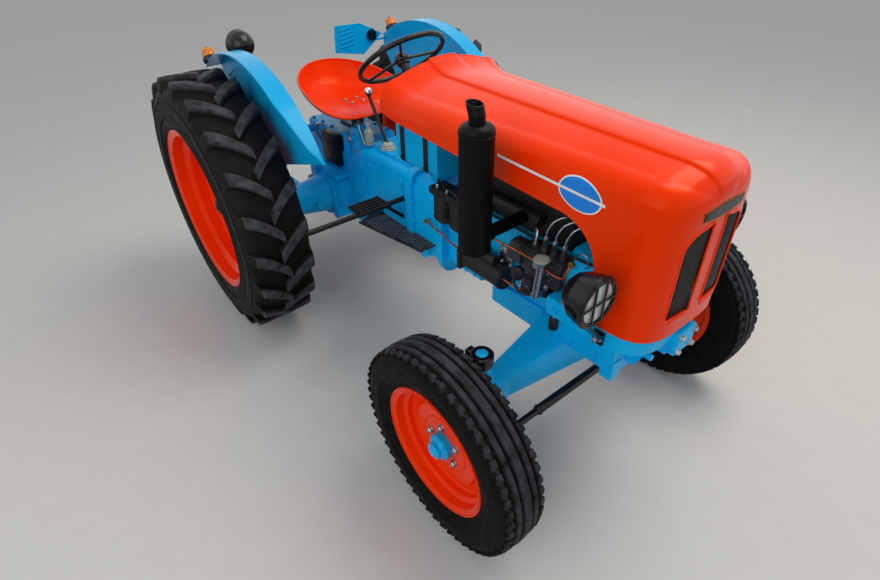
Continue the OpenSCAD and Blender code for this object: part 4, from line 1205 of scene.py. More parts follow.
@dataclass
class FrontWheels:
    """Shoulder teeth, nuts and hub trim of the front wheels."""

    axle_x: float = 1600.0
    height: float = 360.0
    middle: float = 611.0
    disc: float = 10.0
    tyre_r: float = 360.0
    teeth: int = 54
    nuts: int = 5
    nut_r: float = 68.0
    vent_r: float = 163.0

    def build(self, nodes: CadNodes) -> None:
        """Builds both front wheels' trim and finishes their nodes.

        Args:
            nodes: the frame's nodes by name.
        """
        for side in Side:
            body = f"front_wheel_{side.word}"
            self.build_teeth(body, side)
            face = -(self.middle + self.disc)
            nuts = Piece()
            for i in range(self.nuts):
                a = math.tau * i / self.nuts + 0.5
                x, z = self.axle_x + self.nut_r * math.cos(a), self.height + self.nut_r * math.sin(a)
                nuts.bolt((x, face, z), RIGHT, 19, 12)
                nuts.turned([(0, 17), (4, 17), (5, 15), (5, 8)], (x, face, z), RIGHT, 12)
            nuts.finish(f"front_nuts_{side.word}", body, ZINC_STEEL, Slot.STEEL, side)
            rings = Piece()
            for radius, out, thick in ((100, self.disc + 0.2, 3.0), (221.5, 61.5, 2.4), (205, 27.5, 2.0)):
                rings.ring(radius, thick, (self.axle_x, -self.middle - out, self.height), LEFT, 96)
            rings.finish(f"front_rim_steps_{side.word}", body, ENAMEL_ORANGE, Slot.ORANGE, side, sharp=60)
            vents = Piece()
            for a in (0.7, 3.84):
                vents.turned([(0, 0.5), (9, 0.5), (10, -0.6)],
                             (self.axle_x + self.vent_r * math.cos(a), -self.middle + 8.2,
                              self.height + self.vent_r * math.sin(a)), RIGHT, 24)
            vents.turned([(0, 26), (3, 26), (3.4, 20), (4.5, 20), (4.5, 0)],
                         (self.axle_x + 176, -self.middle + 4, self.height - 40), (-0.45, -0.85, 0), 16)
            vents.finish(f"front_vents_{side.word}", body, PLAIN_RUBBER, Slot.RUBBER, side)
            cap = Piece()
            cap.ring(43.2, 1.8, (self.axle_x, face - 20, self.height), LEFT)
            for x, z in circle(4, 36, 0.5):
                cap.bolt((self.axle_x + x, face - 26, self.height + z), RIGHT, 9, 5)
            cap.finish(f"front_hub_trim_{side.word}", body, HUB_BLUE, Slot.BLUE, side)
            dress(nodes, FRONT_RUBBER, f"front_tyre_{side.word}")
            dress(nodes, ENAMEL_ORANGE, f"front_rim_{side.word}")
            dress(nodes, HUB_BLUE, f"front_hub_{side.word}")

    def build_teeth(self, body: str, side: Side) -> None:
        """Builds the stepped teeth along both shoulders of a tyre.

        Args:
            body: the wheel's body.
            side: the machine's side.
        """
        piece = Piece()
        for i in range(self.teeth):
            turn = math.tau * i / self.teeth
            for way in (-1, 1):
                for step, (wide, out, reach) in enumerate(((9.5, 60.5, 0.0), (7.0, 67.0, -2.5))):
                    place = (Matrix.Translation((self.axle_x, -self.middle, self.height))
                             @ Matrix.Rotation(turn + step * 0.03, 4, "Y")
                             @ Matrix.Translation((self.tyre_r - 9 + reach, way * out, 0))
                             @ Matrix.Rotation(way * 0.35, 4, "Z"))
                    piece.block((-9, -wide, -10 + step * 3), (3.5, wide * 0.9, 10 - step * 3), 1.2, place)
        piece.finish(f"front_shoulder_teeth_{side.word}", body, FRONT_RUBBER, Slot.RUBBER, side)


# ---------------- front axle and lamps


@dataclass
class FrontAxle:
    """King-pin collars, the track rod's tube, the beam's and bolster's rounded castings and fixings."""

    axle_x: float = 1600.0
    kingpin_y: float = 470.0
    rod_x: float = 1718.0
    rod_z: float = 404.0
    rod_half: float = 330.0
    skirt_x: float = 1772.0
    skirt_z: float = 682.0
    skirt_h: float = 61.0
    skirt_front: float = 168.0
    skirt_back: float = 40.0
    skirt_y: float = 194.0
    skirt_square: float = 3.2
    beam_y: float = 420.0

    def build(self, nodes: CadNodes) -> None:
        """Builds the axle's trim and finishes its nodes.

        Args:
            nodes: the frame's nodes by name.
        """
        for side in Side:
            body = f"knuckle_{side.word}_body"
            collar = Piece()
            collar.turned([(20, 663), (32, 664), (37, 659), (37.5, 645), (36.5, 622), (34.2, 620)],
                          (self.axle_x, -self.kingpin_y, 0))
            collar.block((self.axle_x - 63, -self.kingpin_y - 14, 605),
                         (self.axle_x - 30, -self.kingpin_y + 14, 645), 3)
            collar.bolt((self.axle_x - 50, -self.kingpin_y - 14, 625), RIGHT, 15, 9)
            collar.bolt((self.axle_x - 50, -self.kingpin_y + 14, 625), LEFT, 15, 9)
            collar.finish(f"kingpin_collar_{side.word}", body, GLOSS_BLACK, Slot.BLACK, side)
            cap = Piece()
            cap.turned([(0, 664.5), (14, 664.5), (18, 663), (19.5, 659)], (self.axle_x, -self.kingpin_y, 0))
            cap.finish(f"kingpin_cap_{side.word}", body, HUB_BLUE, Slot.BLUE, side)
            ends = Piece()
            ends.bolt((self.axle_x + 36, -self.kingpin_y + 48, 490), AHEAD, 19, 11)
            ends.bolt((self.axle_x - 36, -self.kingpin_y + 48, 490), BACK, 19, 11)
            ends.finish(f"beam_end_bolts_{side.word}", "chassis", ZINC_STEEL, Slot.STEEL, side)
            self.build_bolster(side)
            self.build_beam(side)
        self.build_skirt()
        sleeve = Piece()
        end = self.rod_half
        sleeve.turned([(0, -end), (14, -end), (16, 4 - end), (16, end - 4), (14, end), (0, end)],
                      (self.rod_x, 0, self.rod_z), LEFT)
        for y in (12 - end, end - 12):
            sleeve.ring(16.4, 2.5, (self.rod_x, y, self.rod_z), LEFT)
        sleeve.finish("track_rod_tube", "track_rod_body", GLOSS_BLACK, Slot.BLACK)
        dress(nodes, CASTING_BLUE, "front_bolster", "front_beam", "knuckle_right", "knuckle_left")
        dress(nodes, GLOSS_BLACK, "track_rod", "drop_arm", "drag_link")

    def build_bolster(self, side: Side) -> None:
        """Builds the bolts of the bolster and of the lamp arm on one side.

        Args:
            side: the machine's side.
        """
        bolts = Piece()
        for x in (1640, 1700, 1755):
            bolts.bolt((x, -194, 712), RIGHT, 15, 9)
        for x, z in ((1620, 575), (1620, 650), (1700, 575), (1790, 575), (1790, 655)):
            bolts.bolt((x, -150, z), RIGHT, 17, 10)
        for y in (-26, -58):
            bolts.bolt((1900, y, 744), UP, 13, 8)
        bolts.finish(f"bolster_bolts_{side.word}", "chassis", CASTING_BLUE, Slot.CASTING, side)
        flange = Piece()
        for x, z in ((1800, 698), (1816, 712)):
            flange.bolt((x, -202, z), RIGHT, 13, 8)
        flange.finish(f"lamp_arm_bolts_{side.word}", "chassis", ZINC_STEEL, Slot.STEEL, side)

    def build_skirt(self) -> None:
        """Rounds the bolster's front out under the nose and adds the pad with its four bolts."""
        part = bmesh.new()
        bmesh.ops.create_circle(part, cap_ends=True, cap_tris=False, segments=72, radius=1.0)
        for vert in part.verts:
            angle = math.atan2(vert.co.y, vert.co.x)
            reach = squared(math.cos(angle), 2 / self.skirt_square)
            across = squared(math.sin(angle), 2 / self.skirt_square)
            length = self.skirt_front if reach > 0 else self.skirt_back
            vert.co = (self.skirt_x + length * reach, self.skirt_y * across, self.skirt_z)
        extrude(part, (0, 0, self.skirt_h))
        soften(part, 3.0, 3, 1.0)
        skirt = Piece().absorb(part)
        skirt.block((1922, -18, 634), (1960, 78, 718), 4).block((1890, -20, 622), (1934, 64, 690), 6)
        skirt.finish("bolster_skirt", "chassis", CASTING_BLUE, Slot.CASTING)
        bolts = Piece()
        for y in (-5, 66):
            for z in (648, 704):
                bolts.bolt((1960, y, z), AHEAD, 15, 12)
        bolts.finish("bolster_pad_bolts", "chassis", ZINC_STEEL, Slot.STEEL)

    def build_beam(self, side: Side) -> None:
        """Covers the beam with the casting that deepens towards the bolster.

        Args:
            side: the machine's side.
        """
        part = bmesh.new()
        bmesh.ops.create_cube(part, size=2.0)
        for vert in part.verts:
            x, y, z = vert.co
            far = y < 0
            # Half its width, its lower face and its upper face, at the king pin and at the middle
            reach, low, high = (37, 446, 530) if far else (88, 436, 610)
            vert.co = (self.axle_x + reach * x, -self.beam_y if far else -2, high if z > 0 else low)
        bmesh.ops.recalc_face_normals(part, faces=part.faces)
        bmesh.ops.subdivide_edges(part, edges=part.edges, cuts=2, use_grid_fill=True)
        soften(part, 9.0, 4, 0.8)
        beam = Piece().absorb(part)
        beam.block((self.axle_x - 42, -436, 440), (self.axle_x + 42, -380, 534), 8)
        beam.finish(f"beam_casting_{side.word}", "chassis", CASTING_BLUE, Slot.CASTING, side)


@dataclass
class Lamps:
    """Headlamp reflectors, lenses and rims, side lamps and the rear lamps' lenses."""

    x: float = 1862.0
    y: float = 330.0
    z: float = 940.0
    radius: float = 74.0
    side_x: float = -190.0
    side_y: float = 496.0

    def build(self, nodes: CadNodes) -> None:
        """Builds every lamp's trim and finishes the lamps' nodes.

        Args:
            nodes: the frame's nodes by name.
        """
        inner = self.radius * 0.79
        lens = Piece()
        mirror = Piece()
        for side in Side:
            centre = (self.x, side.value * self.y, self.z)
            mirror.turned([(0, 0.6), (inner * 0.3, 0.7), (inner * 0.62, 1.4), (inner * 0.9, 2.4),
                           (inner - 0.4, 3.2), (inner - 0.4, 0.3)], centre, AHEAD)
            lens.turned([(0, 6.6), (inner * 0.5, 6.2), (inner * 0.85, 5.2), (inner - 0.3, 4.2),
                         (inner - 0.3, 3.6), (inner * 0.85, 4.2), (inner * 0.5, 5.0), (0, 5.3)],
                        centre, AHEAD)
        mirror.finish("headlamp_reflectors", "chassis", REFLECTOR, Slot.GLASS)
        lens.finish("headlamp_lenses", "chassis", LENS_GLASS, Slot.GLASS, replaces=["headlamp_glasses"])
        rims = Piece()
        for side in Side:
            centre = (self.x + 1, side.value * self.y, self.z)
            rims.ring(self.radius + 0.2, 2.4, centre, AHEAD, 64)
            rims.ring(self.radius * 0.9, 2.0, (self.x + 8.5, centre[1], self.z), AHEAD, 64)
            rims.bolt((self.x - 2, centre[1], self.z + self.radius - 1), UP, 8, 6)
        rims.finish("headlamp_rims", "chassis", GLOSS_BLACK, Slot.BLACK)
        dress(nodes, GLOSS_BLACK, "headlamp_right", "headlamp_left", "work_lamp", "tail_lamp")
        self.build_rear()

    def build_rear(self) -> None:
        """Builds the side lamps, the working lamp's lens and the tail lamp's lens."""
        amber = Piece()
        base = Piece()
        reach = self.side_x - FENDER_X
        turn = math.asin(reach / FENDER_R)
        height = FENDER_Z + math.sqrt(FENDER_R ** 2 - reach ** 2)
        up = Vector((math.sin(turn), 0, math.cos(turn)))
        for side in Side:
            foot = Vector((self.side_x, side.value * self.side_y, height)) + up * 0.3
            base.turned([(0, 27), (27, 27), (34, 24), (36, 15), (34, 5), (27, 0)], foot, up, 40)
            base.turned([(0, 6), (6, 6), (7, 3), (7, 0)], foot + up * 61.5, up, 20)
            amber.turned([(0, 35), (15, 35), (23, 32), (26.5, 24), (25.5, 23), (28, 14), (27, 13),
                          (29, 4), (29, 0)], foot + up * 27, up, 48)
        base.finish("side_lamp_bases", "chassis", GLOSS_BLACK, Slot.BLACK)
        amber.finish("side_lamp_lenses", "chassis", AMBER_PLASTIC, Slot.AMBER, replaces=["side_lamps"])
        lens = Piece()
        lens.turned([(0, 5), (30, 4), (46, 1.5), (48.6, 0), (48.6, -4)], (-131.2, -379, 1248), BACK)
        lens.finish("work_lamp_lens", "chassis", LENS_GLASS, Slot.GLASS)
        red = Piece()
        red.turned([(0, 3), (18, 2.4), (24, 1), (26.5, 0), (26.5, -2)], (-233.2, 360, 1171), BACK)
        red.finish("tail_lamp_lens", "chassis", RED_PLASTIC, Slot.AMBER)


# ---------------- engine


@dataclass
class Engine:
    """Pipes, unions, bolts and clamps on the engine's sides, and the silencer's seams."""

    block_y: float = 112.0
    head_z: float = 1000.0
    starter_y: float = -158.0
    starter_z: float = 672.0
    silencer_x: float = 1425.0
    silencer_y: float = -350.0
    # The radiator hose's ends, in X and Z
    hose_low: tuple[float, float] = (1510.0, 1042.0)
    hose_high: tuple[float, float] = (1762.0, 1160.0)

    def build(self, nodes: CadNodes) -> None:
        """Builds the engine's trim and finishes its nodes.

        Args:
            nodes: the frame's nodes by name.
        """
        self.build_pipes()
        self.build_pump()
        self.build_filters()
        self.build_exhaust()
        self.build_fixings()
        dress(nodes, CASTING_BLUE, "engine_block", "oil_sump", "timing_case")
        dress(nodes, ENGINE_BLACK, "cylinder_head", "starter_motor", "oil_filters")
        dress(nodes, PUMP_ALLOY, "injection_pump")
        dress(nodes, ZINC_STEEL, "oil_filler")
        dress(nodes, CORE_BLACK, "radiator")
        dress(nodes, STOVE_BLACK, "exhaust")

    def build_pipes(self) -> None:
        """Runs the injector pipes, the pump's two short pipes and the two copper pipes."""
        steel = Piece()
        for i in range(1, 4):
            x = 1500 + 38 * i
            steel.pipe([(x, -155, 900), (x, -155, 918), (x + 6, -152, 950), (x + 22, -138, 978),
                        (x + 48, -112, 990), (x + 60, -88, 985)], 3.2)
            steel.turned([(6, 0), (7.5, 3), (7.5, 14), (5, 17), (3.4, 17)], (x, -155, 902), UP, 6)
            steel.turned([(3.4, 0), (6.5, 3), (6.5, 14), (0, 14)], (x + 58, -94, 986), (0.4, 0.9, -0.2), 6)
        steel.pipe([(1500, -155, 900), (1500, -158, 925), (1509, -165, 936), (1518, -174, 926),
                    (1518, -180, 890)], 5.0)
        steel.pipe([(1640, -150, 880), (1662, -156, 905), (1690, -160, 925), (1706, -160, 900),
                    (1690, -158, 872)], 2.2)
        steel.finish("injector_pipes", "chassis", ZINC_STEEL, Slot.STEEL)
        copper = Piece()
        copper.pipe([(915, -149, 706), (1000, -158, 700), (1150, -172, 689), (1300, -174, 686),
                     (1462, -174, 684), (1478, -174, 690), (1482, -175, 716), (1490, -172, 735)], 4.0)
        copper.pipe([(1300, -176, 846), (1357, -200, 846), (1450, -204, 852), (1542, -204, 852),
                     (1636, -203, 838), (1654, -200, 842), (1662, -196, 862), (1664, -188, 884)], 4.0)
        copper.finish("copper_pipes", "chassis", COPPER_TUBE, Slot.STEEL)
        unions = Piece()
        for centre, axis in (((915, -147, 706), RIGHT), ((1490, -172, 736), UP),
                             ((1664, -186, 888), LEFT), ((1300, -172, 846), RIGHT)):
            unions.turned([(0, 0), (8, 0), (9, 3), (9, 12), (5, 14), (0, 14)], centre, axis, 6)
            unions.ring(8.5, 1.6, centre, axis, 24)
        unions.finish("pipe_unions", "chassis", BRASS, Slot.STEEL)

    def build_pump(self) -> None:
        """Adds the injection pump's bolts, ribs and plates, the feed pump and the filler's cap."""
        alloy = Piece()
        for x in (1478, 1520, 1560, 1600, 1628):
            alloy.bolt((x, -191, 850), RIGHT, 10, 6)
            alloy.bolt((x, -191, 802), RIGHT, 10, 6)
        alloy.block((1490, -194, 812), (1620, -190, 842), 1.5)
        for x in range(1500, 1620, 15):
            alloy.block((x, -196, 815), (x + 6, -193, 839), 1.2)
        for y, z in circle(6, 33):
            alloy.bolt((1420, -161 + y, 826 + z), BACK, 10, 6)
        alloy.block((1470, -186, 861), (1634, -124, 868), 2)
        alloy.finish("pump_details", "chassis", PUMP_ALLOY, Slot.ENGINE)
        plate = Piece()
        plate.block((1530, -196.4, 818), (1596, -195.2, 838), 0.5)
        plate.block((1540, -196, 869), (1600, -160, 870.4), 0.6)
        plate.block((1318, -131, 700), (1382, -122, 776), 4)
        for x, z in ((1328, 764), (1372, 764), (1328, 712), (1372, 712)):
            plate.bolt((x, -131, z), RIGHT, 11, 6)
        plate.finish("pump_plates", "chassis", ZINC_STEEL, Slot.STEEL)
        feed = Piece()
        feed.turned([(0, 0), (20, 2), (23, 8), (23, 14), (19, 20), (12, 26), (0, 27)],
                    (1510, -181, 726), RIGHT, 32)
        feed.bolt((1510, -208, 726), RIGHT, 13, 8)
        feed.turned([(0, 0), (17, 0), (18, 4), (18, 34), (14, 40), (0, 40)], (1556, -150, 700), UP, 32)
        feed.turned([(0, 0), (12, 0), (12, 22), (8, 26), (8, 44)], (1556, -150, 740), UP, 24)
        feed.turned([(13, 0), (24, 2), (25, 8), (25, 20), (13, 24), (0, 24)], (1452, -168, 748),
                    (0.3, -1, 0.1), 32)
        feed.pipe([(1466, -168, 770), (1450, -190, 740), (1470, -196, 700), (1500, -190, 690)], 5.0)
        feed.block((1440, -150, 690), (1600, -119, 716), 6)
        feed.block((1590, -150, 640), (1630, -119, 712), 5)
        feed.turned([(0, 0), (15, 0), (16, 3), (16, 40), (12, 46), (0, 46)], (1612, -160, 600), UP, 28)
        feed.finish("feed_pump", "chassis", ENGINE_BLACK, Slot.ENGINE)
        small = Piece()
        for centre, axis in (((1536, -184, 716), RIGHT), ((1484, -186, 720), RIGHT),
                             ((1574, -172, 752), RIGHT), ((1612, -160, 648), UP),
                             ((1600, -152, 676), RIGHT), ((1456, -152, 704), RIGHT)):
            small.bolt(centre, axis, 13, 10)
        small.finish("feed_pump_nuts", "chassis", ZINC_STEEL, Slot.STEEL)
        cap = Piece()
        cap.turned([(0, 19), (22, 19), (25, 21), (25.5, 24), (24, 26), (10, 27.5), (0, 27)],
                   (1587, -225, 864), UP, 40)
        cap.finish("filler_cap", "chassis", PALE_RUBBER, Slot.STEEL)

    def build_filters(self) -> None:
        """Adds the fuel filters' bands, bolts, pipes and unions."""
        piece = Piece()
        for x in (1056, 1146):
            for z in (800, 884):
                piece.ring(42, 2.4, (x, -165, z), UP)
            piece.bolt((x, -165, 772), DOWN, 17, 10)
            for dx in (-30, 30):
                piece.bolt((x + dx, -200, 914), UP, 11, 7)
        piece.pipe([(1102, -190, 922), (1130, -200, 936), (1180, -205, 925), (1230, -200, 900),
                    (1300, -180, 862)], 4.5)
        piece.pipe([(1010, -150, 960), (1030, -170, 945), (1040, -185, 922)], 5.5)
        piece.finish("filter_details", "chassis", ENGINE_BLACK, Slot.ENGINE)
        nuts = Piece()
        for x, y in ((1102, -190), (1040, -185), (1184, -170)):
            nuts.bolt((x, y, 914), UP, 14, 12)
        nuts.finish("filter_unions", "chassis", ZINC_STEEL, Slot.STEEL)

    def build_exhaust(self) -> None:
        """Adds the silencer's rolled seams and its round shoulder, and the pipe's clamp."""
        piece = Piece()
        x, y = self.silencer_x, self.silencer_y
        for z in (902, 1260):
            piece.ring(50, 2.2, (x, y, z), UP, 64)
        piece.turned([(49, 1256), (50.6, 1260), (50.6, 1268), (48, 1277), (41, 1284), (31, 1288),
                      (24, 1288.5)], (x, y, 0), UP, 64)
        piece.ring(30, 2.4, (x, y, 887), UP)
        piece.ring(22.5, 4.0, (x, y + 60, 935), LEFT)
        piece.bolt((x, y + 60, 961), UP, 12, 9)
        piece.finish("exhaust_seams", "chassis", STOVE_BLACK, Slot.BLACK)

    def build_fixings(self) -> None:
        """Adds the sump's and head's bolts, the hose clips, the side pipes and the starter's details."""
        bolts = Piece()
        for side in Side:
            for x in range(1285, 1520, 46):
                bolts.bolt((x, side.value * self.block_y, 588), DOWN, 11, 7)
            for x in (1020, 1070, 1120, 1170):
                bolts.bolt((x, side.value * (self.block_y - 0.5), 560), (0, side.value, 0), 13, 8)
            for z in (760, 840):
                bolts.bolt((1688, side.value * 179.5, z), (0, side.value, 0), 15, 9)
        bolts.finish("block_bolts", "chassis", CASTING_BLUE, Slot.CASTING)
        dark = Piece()
        for x in range(1150, 1590, 62):
            for s in (-1, 1):
                dark.bolt((x, s * 78, self.head_z), UP, 15, 10)
        y, z = self.starter_y, self.starter_z
        for x in (1188, 1374):
            dark.ring(40.5, 2.2, (x, y, z), AHEAD)
        dark.turned([(0, 0), (12, 0), (13, 3), (13, 16), (0, 20)], (1182, y, z), BACK, 24)
        for a in (0.6, 3.74):
            dark.bolt((1382, y + 28 * math.cos(a), z + 28 * math.sin(a)), AHEAD, 10, 6)
        (low_x, low_z), (high_x, high_z) = self.hose_low, self.hose_high
        run, rise = high_x - low_x, high_z - low_z
        for x in (1700, 1560):
            dark.ring(21.5, 2.6, (x, 0, low_z + (x - low_x) * rise / run), (run, 0, rise), 32)
        for side in Side:
            dark.pipe([(1724, side.value * 150, 900), (1600, side.value * 140, 880),
                       (1400, side.value * 128, 872), (1120, side.value * 122, 866)], 5.0)
        dark.finish("engine_fixings", "chassis", ENGINE_BLACK, Slot.ENGINE)


# ---------------- transmission and body


@dataclass
class Transmission:
    """Bolts of the gearbox and axle, levers, step plates and the parts under the seat."""

    shaft_x: float = 150.0
    shaft_z: float = 572.0
    plate_front: float = 948.0
    plate_back: float = 520.0
    plate_notch: float = 52.0
    plate_near: float = -131.0
    plate_slim: float = -204.0
    plate_wide: float = -268.0
    plate_top: float = 600.0
    plate_thick: float = 4.0
    tread_gap: float = 14.0

    def build(self, nodes: CadNodes) -> None:
        """Builds the castings' bolts, the levers' and valve's details and the finishes of their nodes.

        Args:
            nodes: the frame's nodes by name.
        """
        bolts = Piece()
        for side in Side:
            s = side.value
            for z in (560, 660, 753, 838):
                bolts.bolt((812, s * 139, z), AHEAD, 13, 9)
                bolts.bolt((766, s * 139, z), BACK, 13, 9)
                bolts.bolt((986, s * 141, z), BACK, 13, 9)
            for z in (560, 640, 720, 800):
                bolts.bolt((442, s * 136, z), AHEAD, 12, 8)
            for x, z in ((492, 582), (492, 690), (492, 800), (610, 800), (728, 800), (728, 690),
                         (728, 582), (610, 582)):
                bolts.bolt((x, s * 136, z), (0, s, 0), 14, 8)
            for x in (480, 550, 620, 690, 728):
                bolts.bolt((x, s * 82, 872), UP, 13, 8)
            for x, z in circle(8, 101, 0.5):
                bolts.bolt((self.shaft_x + x, s * 216, self.shaft_z + z), (0, s, 0), 11, 8)
            for a in (-42, 118, 205):
                t = math.radians(a)
                bolts.bolt((self.shaft_x + 122 * math.cos(t), s * 212, self.shaft_z + 122 * math.sin(t)),
                           (0, s, 0), 19, 11)
            for x in (-90, 0, 90, 200, 300):
                bolts.bolt((x, s * 92, 862), UP, 15, 9)
            for z in (500, 600, 700, 780):
                bolts.bolt((-150, s * 108, z), BACK, 15, 9)
        bolts.finish("casting_bolts", "chassis", CASTING_BLUE, Slot.CASTING)
        boot = Piece()
        boot.turned([(0, 0), (34, 0), (35, 4), (28, 8), (30, 12), (22, 18), (24, 22), (15, 30), (8, 33)],
                    (533, -60, 872), UP, 36)
        boot.turned([(0, 0), (22, 0), (20, 6), (15, 12), (8, 18)], (533, 61, 872), UP, 28)
        boot.finish("lever_boots", "chassis", PALE_RUBBER, Slot.PLASTIC)
        knobs = Piece()
        knobs.turned([(0, -16), (9, -14), (15, -9), (18.6, 0), (16.5, 8), (11, 14.5), (4, 18), (0, 18.4)],
                     (412, -60, 1092), UP, 40)
        knobs.finish("lever_ball", "chassis", CHROME, Slot.STEEL)
        valve = Piece()
        for z in (830, 900):
            valve.bolt((365, -131, z), RIGHT, 12, 8)
        valve.turned([(13, 0), (15, 2), (15, 12), (9, 15), (0, 15)], (380, -160, 900), RIGHT, 6)
        valve.pipe([(380, -100, 950), (380, -104, 966), (396, -118, 968), (420, -124, 930),
                    (440, -120, 880)], 5.0)
        valve.finish("valve_details", "chassis", ZINC_STEEL, Slot.STEEL)
        self.build_treads()
        self.build_under_seat()
        dress(nodes, CASTING_BLUE, "gearbox", "axle_housing_right", "axle_housing_left", "hydraulic_valve",
              "hitch_links")
        dress(nodes, SATIN_BLACK, "gear_levers", "drawbar", "foot_rests", "seat_spring", "steering_column")
        dress(nodes, ZINC_STEEL, "pto_shaft")

    def build_treads(self) -> None:
        """Lays the chequered step plate on its brackets along each side of the gearbox."""
        for side in Side:
            piece = Piece()
            part = bmesh.new()
            bmesh.ops.create_cube(part, size=2.0)
            for vert in part.verts:
                ahead, inner = vert.co.x > 0, vert.co.y > 0
                x = self.plate_front if ahead else self.plate_back + (0 if inner else self.plate_notch)
                y = self.plate_near if inner else (self.plate_slim if ahead else self.plate_wide)
                vert.co = (x, y, self.plate_top - (0 if vert.co.z > 0 else self.plate_thick))
            bmesh.ops.recalc_face_normals(part, faces=part.faces)
            bmesh.ops.bevel(part, geom=part.edges[:], offset=1.0, segments=2, profile=0.5,
                            affect="EDGES", material=-1)
            piece.absorb(part)
            treads = Piece()
            for i in range(26):
                for j in range(8):
                    x, y = 590 + self.tread_gap * i, -140 - self.tread_gap * j
                    # None past the plate's slanted outer edge
                    if y < -262 + (x - 590) * 0.186:
                        continue
                    turn = Matrix.Translation((x, y, self.plate_top)) @ Matrix.Rotation(
                        math.radians(45 if (i + j) % 2 else -45), 4, "Z")
                    treads.block((-5.2, -1.7, -0.5), (5.2, 1.7, 1.8), 0.7, turn)
            piece.pipe([(self.plate_back + self.plate_notch, self.plate_wide, 597),
                        (self.plate_front, self.plate_slim, 597)], 4.5, smooth=False)
            piece.pipe([(560, -128, 606), (600, -200, 594), (600, -240, 594)], 5.0)
            piece.pipe([(880, -128, 590), (880, -200, 594)], 5.0)
            piece.finish(f"step_plate_{side.word}", "chassis", SATIN_BLACK, Slot.BLACK, side)
            treads.finish(f"step_treads_{side.word}", "chassis", TREAD_STEEL, Slot.BLACK, side)

    def build_under_seat(self) -> None:
        """Adds the box, cylinder, pipes, rod and bottle that show beneath the seat on the right."""
        # A black box with a plate on its right face, set beneath the seat
        box = Piece()
        box.block((96, -158, 716), (236, -118, 868), 6)
        box.block((104, -164, 728), (228, -156, 856), 3)
        box.finish("black_box_under_seat", "chassis", SATIN_BLACK, Slot.BLACK)
        ram = Piece()
        ram.turned([(0, 800), (17, 801), (19, 806), (19, 838), (16.5, 842), (16.5, 894), (13, 900), (0, 901)],
                   (284, -122, 0), UP, 36)
        ram.block((262, -142, 786), (308, -108, 806), 4)
        ram.finish("lift_cylinder", "chassis", CASTING_BLUE, Slot.CASTING)
        rods = Piece()
        rods.pipe([(86, -122, 870), (60, -140, 880), (36, -146, 862), (31, -146, 820), (31, -128, 786)], 7.0)
        rods.pipe([(262, -64, 910), (330, -61, 908), (515, -58, 893)], 4.5)
        rods.pipe([(300, -60, 864), (290, -62, 895), (262, -64, 912)], 4.0)
        rods.pipe([(515, -58, 893), (528, -58, 874)], 4.0, smooth=False)
        rods.finish("lift_rods", "chassis", ZINC_STEEL, Slot.STEEL)
        bottle = Piece()
        bottle.turned([(0, 872), (17, 873), (20, 880), (20, 930), (17, 940), (9, 948), (9, 956), (11, 957),
                       (11, 968), (0, 969)], (440, -96, 0), UP, 40)
        bottle.finish("fluid_bottle", "chassis", PALE_RUBBER, Slot.PLASTIC)


